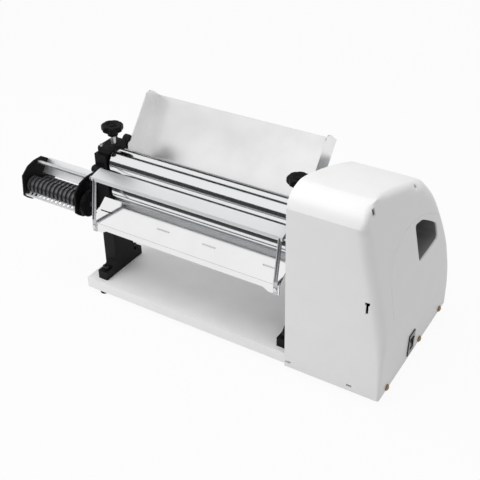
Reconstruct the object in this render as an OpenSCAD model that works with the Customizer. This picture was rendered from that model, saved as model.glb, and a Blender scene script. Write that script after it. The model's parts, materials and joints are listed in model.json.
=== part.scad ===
// Electric pasta maker: two chromed sheeting rollers between cast stands, a moulded
// drive housing at the right end and a pull-off strip cutter at the left end.
// X runs along the rollers, Y from front to back, Z up. Lengths are in millimetres.

/* [Base] */
// Height of the rubber feet under the pan
foot_h = 11; // [9:0.5:14]
// Diameter of a rubber foot
foot_d = 18; // [14:1:22]
// Height of the folded pan
pan_h = 24; // [20:1:30]
// Sheet thickness of the pan
pan_t = 2; // [1.5:0.5:3]
// Length of pan that shows left of the left stand
pan_reach = 17; // [10:1:40]
// Width of the flange folded in under the pan
pan_flange = 26; // [24:1:34]

/* [Rollers] */
// Diameter of the sheeting rollers
roller_d = 57; // [54:0.5:60]
// Face length of the sheeting rollers
roller_l = 400; // [340:5:500]
// Gap between the closed rollers
roller_gap = 0.6; // [0.4:0.1:1]
// Diameter of the roller journals
journal_d = 25; // [20:0.5:26]
// Travel of the upper roller above its closed place
gap_travel = 5; // [3:0.5:6]
// Height of the lower roller's axis above the floor
lower_z = 236.5; // [232:0.5:244]
// Distance of the roller axes behind the front of the pan
roller_y = 76.2; // [75:0.2:80]

/* [Stands] */
// Thickness of a cast stand along the rollers
stand_t = 28; // [24:0.5:32]
// Width of a stand's column
stand_w = 62; // [60:0.5:66]
// Width of the slot that guides the upper bearing block
slot_w = 40; // [38:0.5:42]
// Height of the prongs' tops above the floor
prong_z = 316; // [314:0.5:320]
// Length of a foot lug in front of or behind the column
lug_l = 34; // [28:1:36]
// Height of a foot lug
lug_h = 20; // [16:1:26]
// Width of a foot lug along the rollers
lug_t = 22; // [20:1:24]
// Thickness of the bridge over the upper bearing block
bridge_h = 12; // [10:0.5:14]

/* [Gap knobs] */
// Diameter of a star knob
knob_d = 45; // [40:1:50]
// Height of a star knob with its neck
knob_h = 23; // [20:1:28]
// Number of lobes on a star knob
knob_lobes = 7; // [5:1:8]
// Diameter of the threaded spindle under a knob
spindle_d = 10; // [8:0.5:12]
// Length of spindle that shows between the bridge and the knob
spindle_show = 17; // [12:1:22]

/* [Housing] */
// Width of the drive housing along the rollers
cover_w = 192; // [180:1:210]
// Height of the drive housing's peak above its lower edge
cover_h = 386.5; // [380:0.5:396]
// Depth of the drive housing at its lower edge
cover_d = 351; // [350:1:360]
// Wall of the moulded housing
cover_wall = 3; // [2:0.5:4]
// Rounding of the housing's right-hand edges
cover_round = 14; // [8:1:20]
// Lean of the upper right face, as a rise of one
cover_lean_share = 0.22; // [0.12:0.01:0.26]
// Depth of the side grip behind the right face
grip_depth = 30; // [24:1:36]
// Width of the mains switch
switch_w = 29; // [25:1:31]
// Height of the mains switch
switch_h = 48; // [40:1:50]
// Diameter of the cable gland's thread
gland_d = 16; // [12:1:20]

/* [Drive] */
// Teeth of each of the two roller gears
roller_teeth = 18; // [18:2:22]
// Width of the roller gears
roller_gear_w = 14; // [10:1:16]
// Tooth module of the reduction stage
drive_module = 2; // [1.8:0.1:2.2]
// Teeth of the driven gear on the lower roller
drive_teeth = 45; // [42:1:48]
// Teeth of the motor pinion
pinion_teeth = 15; // [14:1:16]
// Diameter of the motor
motor_d = 120; // [110:1:124]
// Length of the motor without its end cap
motor_l = 58; // [50:1:60]

/* [Guard and chute] */
// Sheet thickness of the guard, the chute and the hopper
sheet_t = 2; // [1.5:0.5:2.5]
// Diameter of the upright guard rods
rod_d = 8; // [6:0.5:9]
// Depth of the finger guard from its hinge to its front edge
guard_depth = 31; // [28:1:36]
// Height of the chute's upright apron
apron_h = 20; // [18:1:24]
// Rise of the chute's sloping face
chute_rise = 34; // [30:1:36]
// Run of the chute's sloping face
chute_run = 45; // [42:1:47]

/* [Hopper] */
// Length of the hopper's back plate along its slope
hopper_l = 124; // [100:2:150]
// Slope of the hopper's back plate
hopper_tilt = 51.2; // [50:0.1:56]
// Width of the hopper's side cheeks
cheek_w = 49; // [46:1:56]

/* [Strip cutter] */
// Distance between the two cutting shafts
cutter_axis_gap = 33; // [32:0.5:34]
// Outer diameter of the cutting rings
ring_d = 37.2; // [36:0.2:38]
// Pitch of the cutting rings
ring_pitch = 11; // [9:0.5:13]
// Number of rings on the front cutting shaft
ring_count = 13; // [9:1:15]
// Side clearance between a ring and its neighbours
ring_clear = 0.3; // [0.2:0.05:0.5]
// Thickness of the cutter's end plates
cutter_plate_t = 4; // [3:0.5:6]
// Teeth of the two gears that couple the cutting shafts
pair_teeth = 22; // [20:2:24]
// Teeth of the gear on the lower roller and of its mate on the cutter
transfer_teeth = 36; // [34:2:38]

/* [Hidden] */

$fn = 48;
// overrun of a cut past the face that it opens
eps = 1;
// running clearance of a shaft in its bore
run_fit = 0.05;
// clearance between parts that move past each other
slip = 0.3;
// steel shaft of the small fasteners
screw_d = 5;

// places along the rollers: the right stand's inner face is at zero
block_over = 5;
end_gap = slip;
left_in_x = -(roller_l + 2 * block_over + 2 * end_gap);
left_out_x = left_in_x - stand_t;
pan_x0 = left_out_x - pan_reach;
plate_t = 3;
plate_x0 = stand_t;
plate_x1 = plate_x0 + plate_t;
rim_lap = 0.5;
cover_x0 = plate_x0 - rim_lap;
cover_x1 = cover_x0 + cover_w;
pan_x1 = cover_x1 - cover_wall - rim_lap;

// the pan fills the housing's foot, which stands out in front of it
cover_over = 6;
pan_w = cover_d - cover_over - cover_wall - rim_lap;
pan_corner = cover_round - cover_wall;

// heights
pan_z = foot_h + pan_h;
cover_z0 = foot_h - rim_lap;
axis_gap = roller_d + roller_gap;
upper_z = lower_z + axis_gap;
stand_y0 = roller_y - stand_w / 2;
stand_y1 = roller_y + stand_w / 2;
spindle_inset = 2;
left_spindle_x = left_in_x - spindle_inset;
right_spindle_x = spindle_inset;

// bushes and bearing blocks
bush_wall = 3;
bush_d = journal_d + 2 * bush_wall;
block_h = 40;
block_w = slot_w - 2 * slip;
rib_w = 6;
rib_d = 2.5;
block_z0 = upper_z - block_h / 2;
block_z1 = upper_z + block_h / 2;
slot_floor_web = 5;
slot_z0 = lower_z + bush_d / 2 + slot_floor_web;

// feet
foot_screw_d = 6;
foot_inset = 13;
foot_x_inset = 33;
foot_taper = 1.5;
foot_head_h = 3;
foot_places = [
    [pan_x0 + foot_x_inset, foot_inset],
    [pan_x0 + foot_x_inset, pan_w - foot_inset],
    [pan_x1 - foot_x_inset, foot_inset],
    [pan_x1 - foot_x_inset, pan_w - foot_inset]];

// stand foot and bolts
bolt_d = 8;
bolt_head_d = 13;
bolt_head_h = 8;
bolt_inset = 13;
lug_fillet = 12;
lug_back_fillet = 5;
lug_back_cut = 8;
bolt_grip = 6;
lug_front_y = stand_y0 - lug_l;
lug_back_y = stand_y1 + lug_l - lug_back_cut;
bolt_places = [lug_front_y + bolt_inset, lug_back_y - bolt_inset];

// guard hinge
hinge_boss_d = 14;
hinge_pin_d = 6;
hinge_y = stand_y0 - hinge_boss_d / 2 - slip;
hinge_drop = 9;
hinge_z = upper_z - hinge_drop;
boss_inset = 10;
hinge_boss_t = stand_t - boss_inset;
guard_end = 9;
guard_x0 = left_in_x - guard_end;
guard_x1 = guard_end;
ear_t = 2.5;
ear_gap = boss_inset - guard_end;
hinge_pin_l = hinge_boss_t + ear_gap + ear_t;
guard_front = hinge_y - guard_depth;
rod_bite = 0.5;
rod_inset = ear_t + rod_d / 2 - rod_bite;
rod_xs = [guard_x0 + rod_inset, guard_x1 - rod_inset];

// hopper stud seat in the horn of the stand
hopper_dir = [cos(hopper_tilt), sin(hopper_tilt)];
hopper_norm = [-sin(hopper_tilt), cos(hopper_tilt)];
hopper_back = 47.5;
hopper_drop = 14;
hopper_foot = [stand_y1 + hopper_back, upper_z - hopper_drop];
stud_d = 8;
stud_edge = 3;
stud_rise = 2;
stud_pos = hopper_foot + hopper_dir * stud_rise + hopper_norm * (cheek_w - stud_edge);
horn_wall = 7.5;
horn_reach = 8;
horn_r = stud_d / 2 + slip + horn_wall;
horn_t = 12;
horn_lap = 12;
hopper_play = 1.3;
hopper_x0 = left_in_x + hopper_play;
hopper_x1 = -hopper_play;

// cutter: shaft places in the YZ plane
transfer_module = 1.5;
transfer_dist = transfer_module * transfer_teeth;
transfer_angle = 225;
front_cut = [roller_y + transfer_dist * cos(transfer_angle), lower_z + transfer_dist * sin(transfer_angle)];
pair_module = cutter_axis_gap / pair_teeth;
pair_angle = -22.5;
rear_cut = front_cut + cutter_axis_gap * [cos(pair_angle), sin(pair_angle)];
ring_w = ring_pitch / 2 - ring_clear;
core_clear = 0.4;
core_d = 2 * (cutter_axis_gap - ring_d / 2 - core_clear);
end_play = 0.8;
cutter_l = (ring_count - 1) * ring_pitch + ring_w + 2 * end_play;
cutter_shaft_d = 12;
gear_w = 8;
gear_play = 1.5;
shaft_over = 1;
cutter_gap = 35;
cutter_x2 = left_out_x - cutter_gap;
cutter_x1 = cutter_x2 - cutter_plate_t;
cutter_x0 = cutter_x1 - cutter_l;
cutter_end_x = cutter_x0 - cutter_plate_t;
pair_x = cutter_x2 + gear_play;
transfer_x = pair_x + gear_w + gear_play;
cap_l = 6;

// dock pins of the cutter
dock_d = 8;
dock_low_step = [-25.7, -70.5];
dock_high_step = [21.8, -51.5];
dock_low = [roller_y, lower_z] + dock_low_step;
dock_high = [roller_y, lower_z] + dock_high_step;
dock_deep = 20;
dock_tip = 4;

// tie rods of the cutter, in the YZ plane
tie_d = 8;
tie_high_step = [-12, 3.5];
tie_back_step = [22, -20.5];
tie_high = [roller_y, lower_z] + tie_high_step;
tie_back = [roller_y, lower_z] + tie_back_step;

// drive train places
drive_dist = drive_module * (drive_teeth + pinion_teeth) / 2;
drive_angle = -40;
pinion_pos = [roller_y + drive_dist * cos(drive_angle), lower_z + drive_dist * sin(drive_angle)];
train_gap = 3;
gear_x0 = plate_x1 + train_gap;
drive_x0 = gear_x0 + roller_gear_w + train_gap;
drive_w = 12;
upper_shaft_end = gear_x0 + roller_gear_w + shaft_over;
lower_shaft_end = drive_x0 + drive_w + shaft_over;
bracket_x0 = lower_shaft_end + 2 * train_gap;
bracket_t = 4;
gearbox_x0 = bracket_x0 + bracket_t;
end_cap_l = 18;
motor_end_room = 16.5;
motor_x0 = cover_x1 - cover_wall - motor_end_room - end_cap_l - motor_l;
gearbox_w = motor_x0 - gearbox_x0;
gearbox_over = 4;
capacitor_d = 40;
capacitor_back = 45;
motor_gap = 16;
motor_back = capacitor_back + capacitor_d / 2 + motor_gap + gearbox_over + motor_d / 2;
motor_rise = 17;
motor_pos = [cover_d - cover_over - motor_back, pan_z + motor_d / 2 + motor_rise];
output_d = 14;
output_deep = 10;

// put a part, drawn at its place on the machine, into the centred frame
module placed() {
    translate([-mid_x, -mid_y, 0]) children();
}

// a cylinder from x0 along +X, centred on a place in the YZ plane
module rod_x(x0, length, pos, d) {
    translate([x0, pos[0], pos[1]]) rotate([0, 90, 0]) cylinder(d = d, h = length);
}

// a flat outline of [y, z] points, extruded from x0 along +X
module slab_x(x0, length) {
    translate([x0, 0, 0]) rotate([90, 0, 90]) linear_extrude(length) children();
}

// a revolved body about an axis along X: the outline's first value runs out
// from the axis and its second value runs along X
module turned_x(x0, pos) {
    translate([x0, pos[0], pos[1]]) rotate([0, 90, 0]) rotate_extrude($fn = 96) children();
}

// a strip of constant thickness along a bent centre line in the YZ plane
module bent_strip(points, t) {
    for (i = [0 : len(points) - 2]) {
        a = points[i];
        b = points[i + 1];
        span = norm(b - a);
        translate(a) rotate(atan2(b[1] - a[1], b[0] - a[0]))
            translate([0, -t / 2]) square([span, t]);
    }
    for (i = [1 : len(points) - 2]) translate(points[i]) circle(d = t, $fn = 24);
}

// involute gear outlines
pressure = 25;
backlash = 0.3;
root_share = 1.25;
flank_share = 0.1;
function involute_turn(r, rb) = r <= rb ? 0 :
    let(u = sqrt(r * r / (rb * rb) - 1)) u * 180 / PI - atan(u);
function tooth_half(r, rp, n) =
    let(rb = rp * cos(pressure))
    90 / n - backlash / 4 / rp * 180 / PI + involute_turn(rp, rb) - involute_turn(r, rb);
function gear_points(n, m, depth_share = 1) =
    let(rp = n * m / 2, root = rp - root_share * m * depth_share, tip = rp + m * depth_share,
        rb = rp * cos(pressure), low = max(rb, root + flank_share * m),
        radii = [root, low, (rp + low) / 2, (rp + tip) / 2, tip])
    [for (i = [0 : n - 1], side = [-1, 1], k = [0 : len(radii) - 1])
        let(j = side < 0 ? k : len(radii) - 1 - k, r = radii[j],
            a = i * 360 / n + side * tooth_half(r, rp, n))
        [r * cos(a), r * sin(a)]];
module gear(x0, w, pos, n, m, turn, bore) {
    translate([0, pos[0], pos[1]]) slab_x(x0, w) difference() {
        rotate(turn) polygon(gear_points(n, m));
        circle(d = bore);
    }
}

// the housing's place, and the gland and screws that stand out of it
screw_head_d = 13;
screw_head_h = 4.5;
gland_l = 22;
cover_y0 = -cover_over;
cover_y1 = cover_y0 + cover_d;

// the housing's outline by height: share of the height, then of the depth at front and back
cover_shares = [
    [0.000, 0.000, 1.000], [0.095, -0.003, 1.000], [0.195, -0.006, 1.000],
    [0.258, -0.009, 0.993], [0.321, -0.011, 0.984], [0.387, -0.014, 0.973],
    [0.464, -0.017, 0.957], [0.541, -0.020, 0.935], [0.594, -0.022, 0.915],
    [0.646, -0.024, 0.892], [0.697, -0.026, 0.865], [0.736, -0.028, 0.839],
    [0.775, -0.029, 0.803], [0.824, -0.031, 0.736], [0.852, -0.032, 0.660],
    [0.894, -0.033, 0.541], [0.915, -0.033, 0.475], [0.930, -0.030, 0.421],
    [0.946, -0.022, 0.364], [0.959, -0.012, 0.314], [0.969, -0.001, 0.273],
    [0.978, 0.013, 0.236], [0.986, 0.032, 0.202], [0.992, 0.053, 0.171],
    [0.997, 0.077, 0.137], [1.000, 0.099, 0.113]];
cover_steps = len(cover_shares);
front_bulge = -min([for (s = cover_shares) s[1]]) * cover_d;

// overall middle, from the cutter's end to the cover screws' heads and from front to back
total_x0 = cutter_end_x - cap_l;
total_x1 = cover_x1 + screw_head_h;
mid_x = (total_x0 + total_x1) / 2;
total_y0 = cover_y0 - front_bulge;
total_y1 = cover_y1 + gland_l;
mid_y = (total_y0 + total_y1) / 2;

bend_low = 100;
bend_high = 180;
function cover_lean(rise) = rise < bend_low ? 0 :
    rise < bend_high ? cover_lean_share * pow(rise - bend_low, 2) / (2 * (bend_high - bend_low)) :
    cover_lean_share * (rise - (bend_low + bend_high) / 2);
function cover_level(i, inset) =
    let(s = cover_shares[i], mid = cover_y0 + cover_d / 2,
        k = (cover_d - 2 * inset) / cover_d, rise = s[0] * (cover_h - inset))
    [cover_z0 + rise, mid + k * (cover_y0 + s[1] * cover_d - mid),
        mid + k * (cover_y0 + s[2] * cover_d - mid), cover_x1 - inset - cover_lean(rise)];
function slope_stretch(i, side) =
    let(a = cover_shares[max(i - 1, 0)], b = cover_shares[min(i + 1, cover_steps - 1)],
        run = (b[side] - a[side]) * cover_d, rise = (b[0] - a[0]) * cover_h)
    sqrt(1 + pow(run / rise, 2));
corner_steps = 5;
corner_share = 0.95;
function cover_ring(i, inset, x0) =
    let(v = cover_level(i, inset), r = cover_round - inset, half = (v[2] - v[1]) / 2,
        front = min(r * slope_stretch(i, 1), corner_share * half),
        back = min(r * slope_stretch(i, 2), corner_share * half))
    concat([[x0, v[1], v[0]]],
        [for (k = [0 : corner_steps]) let(a = 90 * k / corner_steps)
            [v[3] - r + r * sin(a), v[1] + front - front * cos(a), v[0]]],
        [for (k = [0 : corner_steps]) let(a = 90 * k / corner_steps)
            [v[3] - r + r * cos(a), v[2] - back + back * sin(a), v[0]]],
        [[x0, v[2], v[0]]]);
module skin(rings) {
    n = len(rings[0]);
    m = len(rings);
    points = [for (ring = rings, p = ring) p];
    sides = [for (i = [0 : m - 2], j = [0 : n - 1], half = [0, 1])
        let(a = i * n + j, b = i * n + (j + 1) % n)
        half == 0 ? [a, a + n, b] : [b, a + n, b + n]];
    low_cap = [for (j = [0 : n - 1]) j];
    high_cap = [for (j = [0 : n - 1]) (m - 1) * n + n - 1 - j];
    polyhedron(points, concat(sides, [low_cap, high_cap]), convexity = 6);
}
module cover_solid(inset, x0, drop) {
    first = cover_ring(0, inset, x0);
    rings = [for (i = [0 : cover_steps - 1]) cover_ring(i, inset, x0)];
    below = [for (p = first) [p[0], p[1], p[2] - drop]];
    skin(drop > 0 ? concat([below], rings) : rings);
}
// flat outline of the housing's inside, drawn in the YZ plane
function cover_outline(inset, z_low) =
    let(keep = [for (i = [0 : cover_steps - 1]) cover_level(i, inset)])
    concat([[keep[0][2], z_low], [keep[0][1], z_low]],
        [for (v = keep) if (v[0] > z_low) [v[1], v[0]]],
        [for (i = [cover_steps - 1 : -1 : 0]) if (keep[i][0] > z_low) [keep[i][2], keep[i][0]]]);

// a closed outline with its corners eased
ease_steps = 5;
function eased(points, r) =
    [for (i = [0 : len(points) - 1], k = [0 : ease_steps])
        let(n = len(points), b = points[i], a = points[(i + n - 1) % n], c = points[(i + 1) % n],
            t = k / ease_steps, p = b + (a - b) / norm(a - b) * r, q = b + (c - b) / norm(c - b) * r)
        (1 - t) * (1 - t) * p + 2 * t * (1 - t) * b + t * t * q];

// the side grip's outline in the YZ plane, as shares of its box
grip_shares = [[0, 0], [0.5, 0], [1, 0.02], [1, 0.43], [0.7, 0.68], [0.35, 0.93], [0, 1]];
grip_y0_share = 0.5;
grip_z0_share = 0.508;
grip_y0 = cover_y0 + grip_y0_share * cover_d;
grip_z0 = cover_z0 + grip_z0_share * cover_h;
grip_w = 96;
grip_h = 76;
grip_ease = 9;
grip_wall = 2;
module grip_outline(grow) {
    polygon(eased([for (s = grip_shares) [grip_y0 - grow + s[0] * (grip_w + 2 * grow),
        grip_z0 - grow + s[1] * (grip_h + 2 * grow)]], grip_ease));
}
lean_z = cover_z0 + (bend_low + bend_high) / 2;
grip_x0 = cover_x1 - cover_wall - cover_lean_share * (grip_z0 + grip_h - lean_z) - grip_depth;

// the mains switch
switch_y_share = 0.42;
switch_y = cover_y0 + switch_y_share * cover_d;
switch_rise = 9;
switch_z = cover_z0 + switch_h / 2 + switch_rise;
bezel_lap = 5;
switch_body_w = switch_w - bezel_lap;
switch_body_h = switch_h - bezel_lap;
switch_body_l = 18;
bezel_t = 2.5;
rocker_l = 26;
rocker_w = 16;
switch_clear = 2;

// the three screws that hold the housing to the pan
cover_screw_shares = [0.103, 0.560, 0.878];
cover_screw_ys = [for (s = cover_screw_shares) cover_y0 + s * cover_d];
cover_screw_rise = 7.5;
cover_screw_z = cover_z0 + cover_screw_rise;

// base: one folded pan with flanges turned in for the feet
module pan_block(inset) {
    x0 = pan_x0 + inset;
    r = pan_corner - inset;
    translate([0, 0, foot_h + inset]) linear_extrude(pan_h - 2 * inset) {
        translate([x0, inset]) square([pan_x1 - pan_corner - x0, pan_w - 2 * inset]);
        translate([x0, pan_corner]) square([pan_x1 - inset - x0, pan_w - 2 * pan_corner]);
        for (y = [pan_corner, pan_w - pan_corner]) translate([pan_x1 - pan_corner, y]) circle(r = r);
    }
}
module base_pan() color("gainsboro") placed() difference() {
    pan_block(0);
    pan_block(pan_t);
    translate([pan_x0 + pan_t, pan_flange, foot_h - eps])
        cube([pan_x1 - pan_x0 - 2 * pan_t, pan_w - 2 * pan_flange, pan_t + 2 * eps]);
    for (p = foot_places) translate([p[0], p[1], foot_h - eps]) cylinder(d = foot_screw_d, h = pan_t + 2 * eps);
    for (y = bolt_places, x = [left_in_x - lug_t / 2, lug_t / 2])
        translate([x, y, foot_h + pan_h - pan_t - eps]) cylinder(d = bolt_d, h = pan_t + 2 * eps);
    translate([pan_x1 - switch_body_l, switch_y - switch_body_w / 2 - switch_clear, foot_h - eps])
        cube([switch_body_l + eps, switch_body_w + 2 * switch_clear, pan_h + 2 * eps]);
    for (y = cover_screw_ys) rod_x(pan_x1 - pan_t - eps, pan_t + 2 * eps, [y, cover_screw_z], screw_d);
}

// rubber feet, each with its screw moulded in
module rubber_feet() color("#1b1b1b") placed() for (p = foot_places) translate([p[0], p[1], 0])
    rotate_extrude() polygon([[0, 0], [foot_d / 2 - foot_taper, 0], [foot_d / 2, foot_taper],
        [foot_d / 2, foot_h], [foot_screw_d / 2, foot_h], [foot_screw_d / 2, foot_h + pan_t],
        [foot_screw_d, foot_h + pan_t], [foot_screw_d, foot_h + pan_t + foot_head_h],
        [0, foot_h + pan_t + foot_head_h]]);

// places along X of what the left end mirrors from the right end
module both_ends() {
    children();
    translate([left_in_x, 0, 0]) mirror([1, 0, 0]) children();
}

// cast stand, drawn as the right one: its inner face is at zero
foot_plate_h = 14;
tie_bar_d = 14;
tie_spigot_d = 10;
tie_drop = 56.5;
tie_front = 16.2;
tie_rear = 9.8;
tie_places = [for (y = [roller_y - tie_front, roller_y + tie_rear]) [y, lower_z - tie_drop]];
scraper_bar = 12;
scraper_spigot_d = 8;
scraper_step = [-24.2, -36.5];
scraper_pos = [roller_y, lower_z] + scraper_step;
spigot_deep = 20;
bridge_screw_d = 4;
bridge_screw_inset = 8;
bridge_screw_deep = 12;
bridge_foot_h = 4;
bridge_inset = 7;
bridge_x1 = stand_t - bridge_inset;
bridge_screw_x = bridge_x1 - bridge_inset;
bridge_screw_ys = [stand_y0 + bridge_screw_inset, stand_y1 - bridge_screw_inset];
module stand_profile() {
    translate([stand_y0, pan_z]) square([stand_w, prong_z - pan_z]);
}
module foot_profile() {
    polygon([[lug_front_y, pan_z], [lug_back_y, pan_z], [lug_back_y, pan_z + lug_h],
        [stand_y1 + lug_back_fillet, pan_z + lug_h], [stand_y1, pan_z + lug_h + lug_back_fillet],
        [stand_y0, pan_z + lug_h + lug_fillet], [stand_y0 - lug_fillet, pan_z + lug_h],
        [lug_front_y, pan_z + lug_h]]);
}
horn_gap = 3.5;
module horn_profile() {
    tip = stud_pos + hopper_dir * horn_reach;
    side = hopper_norm * horn_r;
    difference() {
        union() {
            translate(stud_pos) circle(r = horn_r);
            translate(tip) circle(r = horn_r);
            polygon([stud_pos - side, tip - side, tip + side, stud_pos + side]);
            polygon([[stand_y1 - horn_lap, stud_pos[1] - horn_r], [stud_pos[0], stud_pos[1] - horn_r],
                [stud_pos[0], prong_z], [stand_y1 - horn_lap, prong_z]]);
        }
        translate(stud_pos) {
            circle(d = stud_d + 2 * slip);
            rotate(hopper_tilt) translate([0, -stud_d / 2 - slip])
                square([2 * horn_r + horn_reach, stud_d + 2 * slip]);
        }
        translate([stand_y0, prong_z]) square([stand_w - horn_gap, 2 * horn_r]);
    }
}
module boss_profile() {
    translate([hinge_y, hinge_z]) circle(d = hinge_boss_d);
    translate([hinge_y, hinge_z - hinge_boss_d / 2]) square([stand_y0 - hinge_y + eps, hinge_boss_d]);
}
module stand() {
    difference() {
        union() {
            slab_x(0, stand_t) stand_profile();
            slab_x(0, lug_t) foot_profile();
            slab_x(0, horn_t) horn_profile();
            slab_x(boss_inset, hinge_boss_t) boss_profile();
        }
        slab_x(-eps, stand_t + 2 * eps) translate([roller_y - slot_w / 2, slot_z0])
            square([slot_w, prong_z - slot_z0 + eps]);
        rod_x(-eps, stand_t + 2 * eps, [roller_y, lower_z], bush_d);
        for (p = tie_places) rod_x(-eps, stand_t + 2 * eps, p, tie_spigot_d);
        rod_x(-eps, spigot_deep + eps, scraper_pos, scraper_spigot_d);
        rod_x(boss_inset - eps, hinge_boss_t + 2 * eps, [hinge_y, hinge_z], hinge_pin_d);
        for (y = bolt_places) translate([lug_t / 2, y, pan_z - eps])
            cylinder(d = bolt_d, h = lug_h + 2 * eps);
        for (y = bridge_screw_ys) translate([bridge_screw_x, y, prong_z - bridge_screw_deep])
            cylinder(d = bridge_screw_d, h = bridge_screw_deep + eps);
    }
    for (side = [-1, 1]) slab_x(stand_t / 2 - rib_w / 2, rib_w)
        translate([roller_y + side * (slot_w / 2 - rib_d / 2) - rib_d / 2, slot_z0 - rib_d])
        square([rib_d, prong_z - slot_z0 + rib_d]);
}
module right_stand() color("#1d1d1f") placed() stand();
module left_stand() color("#1d1d1f") placed() difference() {
    translate([left_in_x, 0, 0]) mirror([1, 0, 0]) stand();
    for (p = [dock_low, dock_high]) rod_x(left_out_x - eps, dock_deep + eps, p, dock_d);
}

// cap screws of the stands' feet, each with its nut under the pan
module stand_bolts() color("silver") placed() both_ends() for (y = bolt_places)
    translate([lug_t / 2, y, 0]) {
        translate([0, 0, pan_z - pan_t - bolt_grip]) cylinder(d = bolt_d, h = lug_h + pan_t + bolt_grip);
        translate([0, 0, pan_z - pan_t - bolt_grip]) cylinder(d = bolt_head_d, h = bolt_grip, $fn = 6);
        translate([0, 0, pan_z + lug_h]) difference() {
            cylinder(d = bolt_head_d, h = bolt_head_h);
            translate([0, 0, bolt_head_h / 2]) cylinder(d = bolt_head_d / 2, h = bolt_head_h, $fn = 6);
        }
    }

// two round bars that keep the stands apart
module tie_bars() color("silver") placed() for (p = tie_places) {
    rod_x(left_in_x, -left_in_x, p, tie_bar_d);
    rod_x(left_out_x, plate_x1 - left_out_x, p, tie_spigot_d);
}

// bridge over the upper bearing block, one on each stand
bridge_y_inset = 4;
bridge_ease = 3;
bridge_y0 = stand_y0 + bridge_y_inset;
bridge_y1 = stand_y1 - bridge_y_inset;
bridge_z0 = prong_z + bridge_foot_h;
bridge_z1 = bridge_z0 + bridge_h;
bridge_foot_w = (stand_w - slot_w) / 2 - bridge_y_inset;
module bridges() color("#1d1d1f") placed() both_ends() difference() {
    slab_x(-block_over, bridge_x1 + block_over) polygon([[bridge_y0, prong_z],
        [bridge_y0 + bridge_foot_w, prong_z], [bridge_y0 + bridge_foot_w, bridge_z0],
        [bridge_y1 - bridge_foot_w, bridge_z0], [bridge_y1 - bridge_foot_w, prong_z],
        [bridge_y1, prong_z], [bridge_y1, bridge_z1 - bridge_ease], [bridge_y1 - bridge_ease, bridge_z1],
        [bridge_y0 + bridge_ease, bridge_z1], [bridge_y0, bridge_z1 - bridge_ease]]);
    translate([-block_over - eps, bridge_y0 - eps, prong_z - eps])
        cube([block_over + eps, stand_w, bridge_foot_h + eps]);
    translate([spindle_inset, roller_y, bridge_z0 - eps])
        cylinder(d = spindle_d + 2 * run_fit, h = bridge_h + 2 * eps);
    for (y = bridge_screw_ys) translate([bridge_screw_x, y, prong_z - eps])
        cylinder(d = bridge_screw_d, h = bridge_foot_h + bridge_h + 2 * eps);
}
bridge_head_d = 7;
bridge_head_h = 4;
module bridge_screws() color("silver") placed() both_ends() for (y = bridge_screw_ys)
    translate([bridge_screw_x, y, 0]) {
        translate([0, 0, prong_z - bridge_screw_deep])
            cylinder(d = bridge_screw_d, h = bridge_screw_deep + bridge_foot_h + bridge_h);
        translate([0, 0, bridge_z1]) cylinder(d = bridge_head_d, h = bridge_head_h);
    }

// flanged bushes of the lower roller
flange_d = 40;
module lower_bushes() color("#b08d4a") placed() both_ends() turned_x(0, [roller_y, lower_z])
    polygon([[journal_d / 2 + run_fit, -block_over], [flange_d / 2, -block_over], [flange_d / 2, 0],
        [bush_d / 2, 0], [bush_d / 2, stand_t], [journal_d / 2 + run_fit, stand_t]]);

// scraper bar with its blade against the lower roller
blade_t = 1.5;
blade_angle = 236.4;
blade_gap = 0.1;
blade_dir = [cos(blade_angle), sin(blade_angle)];
blade_tip = [roller_y, lower_z] + (roller_d / 2 + slip + blade_gap) * blade_dir;
module lower_scraper() color("silver") placed() {
    half = scraper_bar / 2;
    slab_x(left_in_x, -left_in_x) {
        translate(scraper_pos - [half, half]) square(scraper_bar);
        polygon([scraper_pos + [half - 2 * blade_t, half - blade_t], scraper_pos + [half, half - blade_t],
            scraper_pos + [half, half], blade_tip, blade_tip - [blade_t, 0]]);
    }
    rod_x(left_in_x - spigot_deep, spigot_deep + eps, scraper_pos, scraper_spigot_d);
    rod_x(-eps, spigot_deep + eps, scraper_pos, scraper_spigot_d);
}

// pins that the guard swings on
module hinge_pins() color("silver") placed() both_ends()
    rod_x(stand_t - hinge_pin_l, hinge_pin_l, [hinge_y, hinge_z], hinge_pin_d);

// pins on the left stand that carry the strip cutter
module dock_pins() color("silver") placed() for (p = [dock_low, dock_high])
    rod_x(cutter_x1 - dock_tip, left_out_x + dock_deep - cutter_x1 + dock_tip, p, dock_d);

// plate between the right stand and the gears
shaft_clear = 1.5;
module drive_plate() color("#9a9da0") placed() {
    hole = journal_d + 2 * shaft_clear;
    difference() {
        slab_x(plate_x0, plate_t) polygon(cover_outline(cover_wall + slip, pan_z));
        rod_x(plate_x0 - eps, plate_t + 2 * eps, [roller_y, lower_z], hole);
        for (rise = [0, gap_travel]) rod_x(plate_x0 - eps, plate_t + 2 * eps, [roller_y, upper_z + rise], hole);
        slab_x(plate_x0 - eps, plate_t + 2 * eps) translate([roller_y - hole / 2, upper_z])
            square([hole, gap_travel]);
        for (p = tie_places) rod_x(plate_x0 - eps, plate_t + 2 * eps, p, tie_spigot_d);
    }
}

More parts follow.
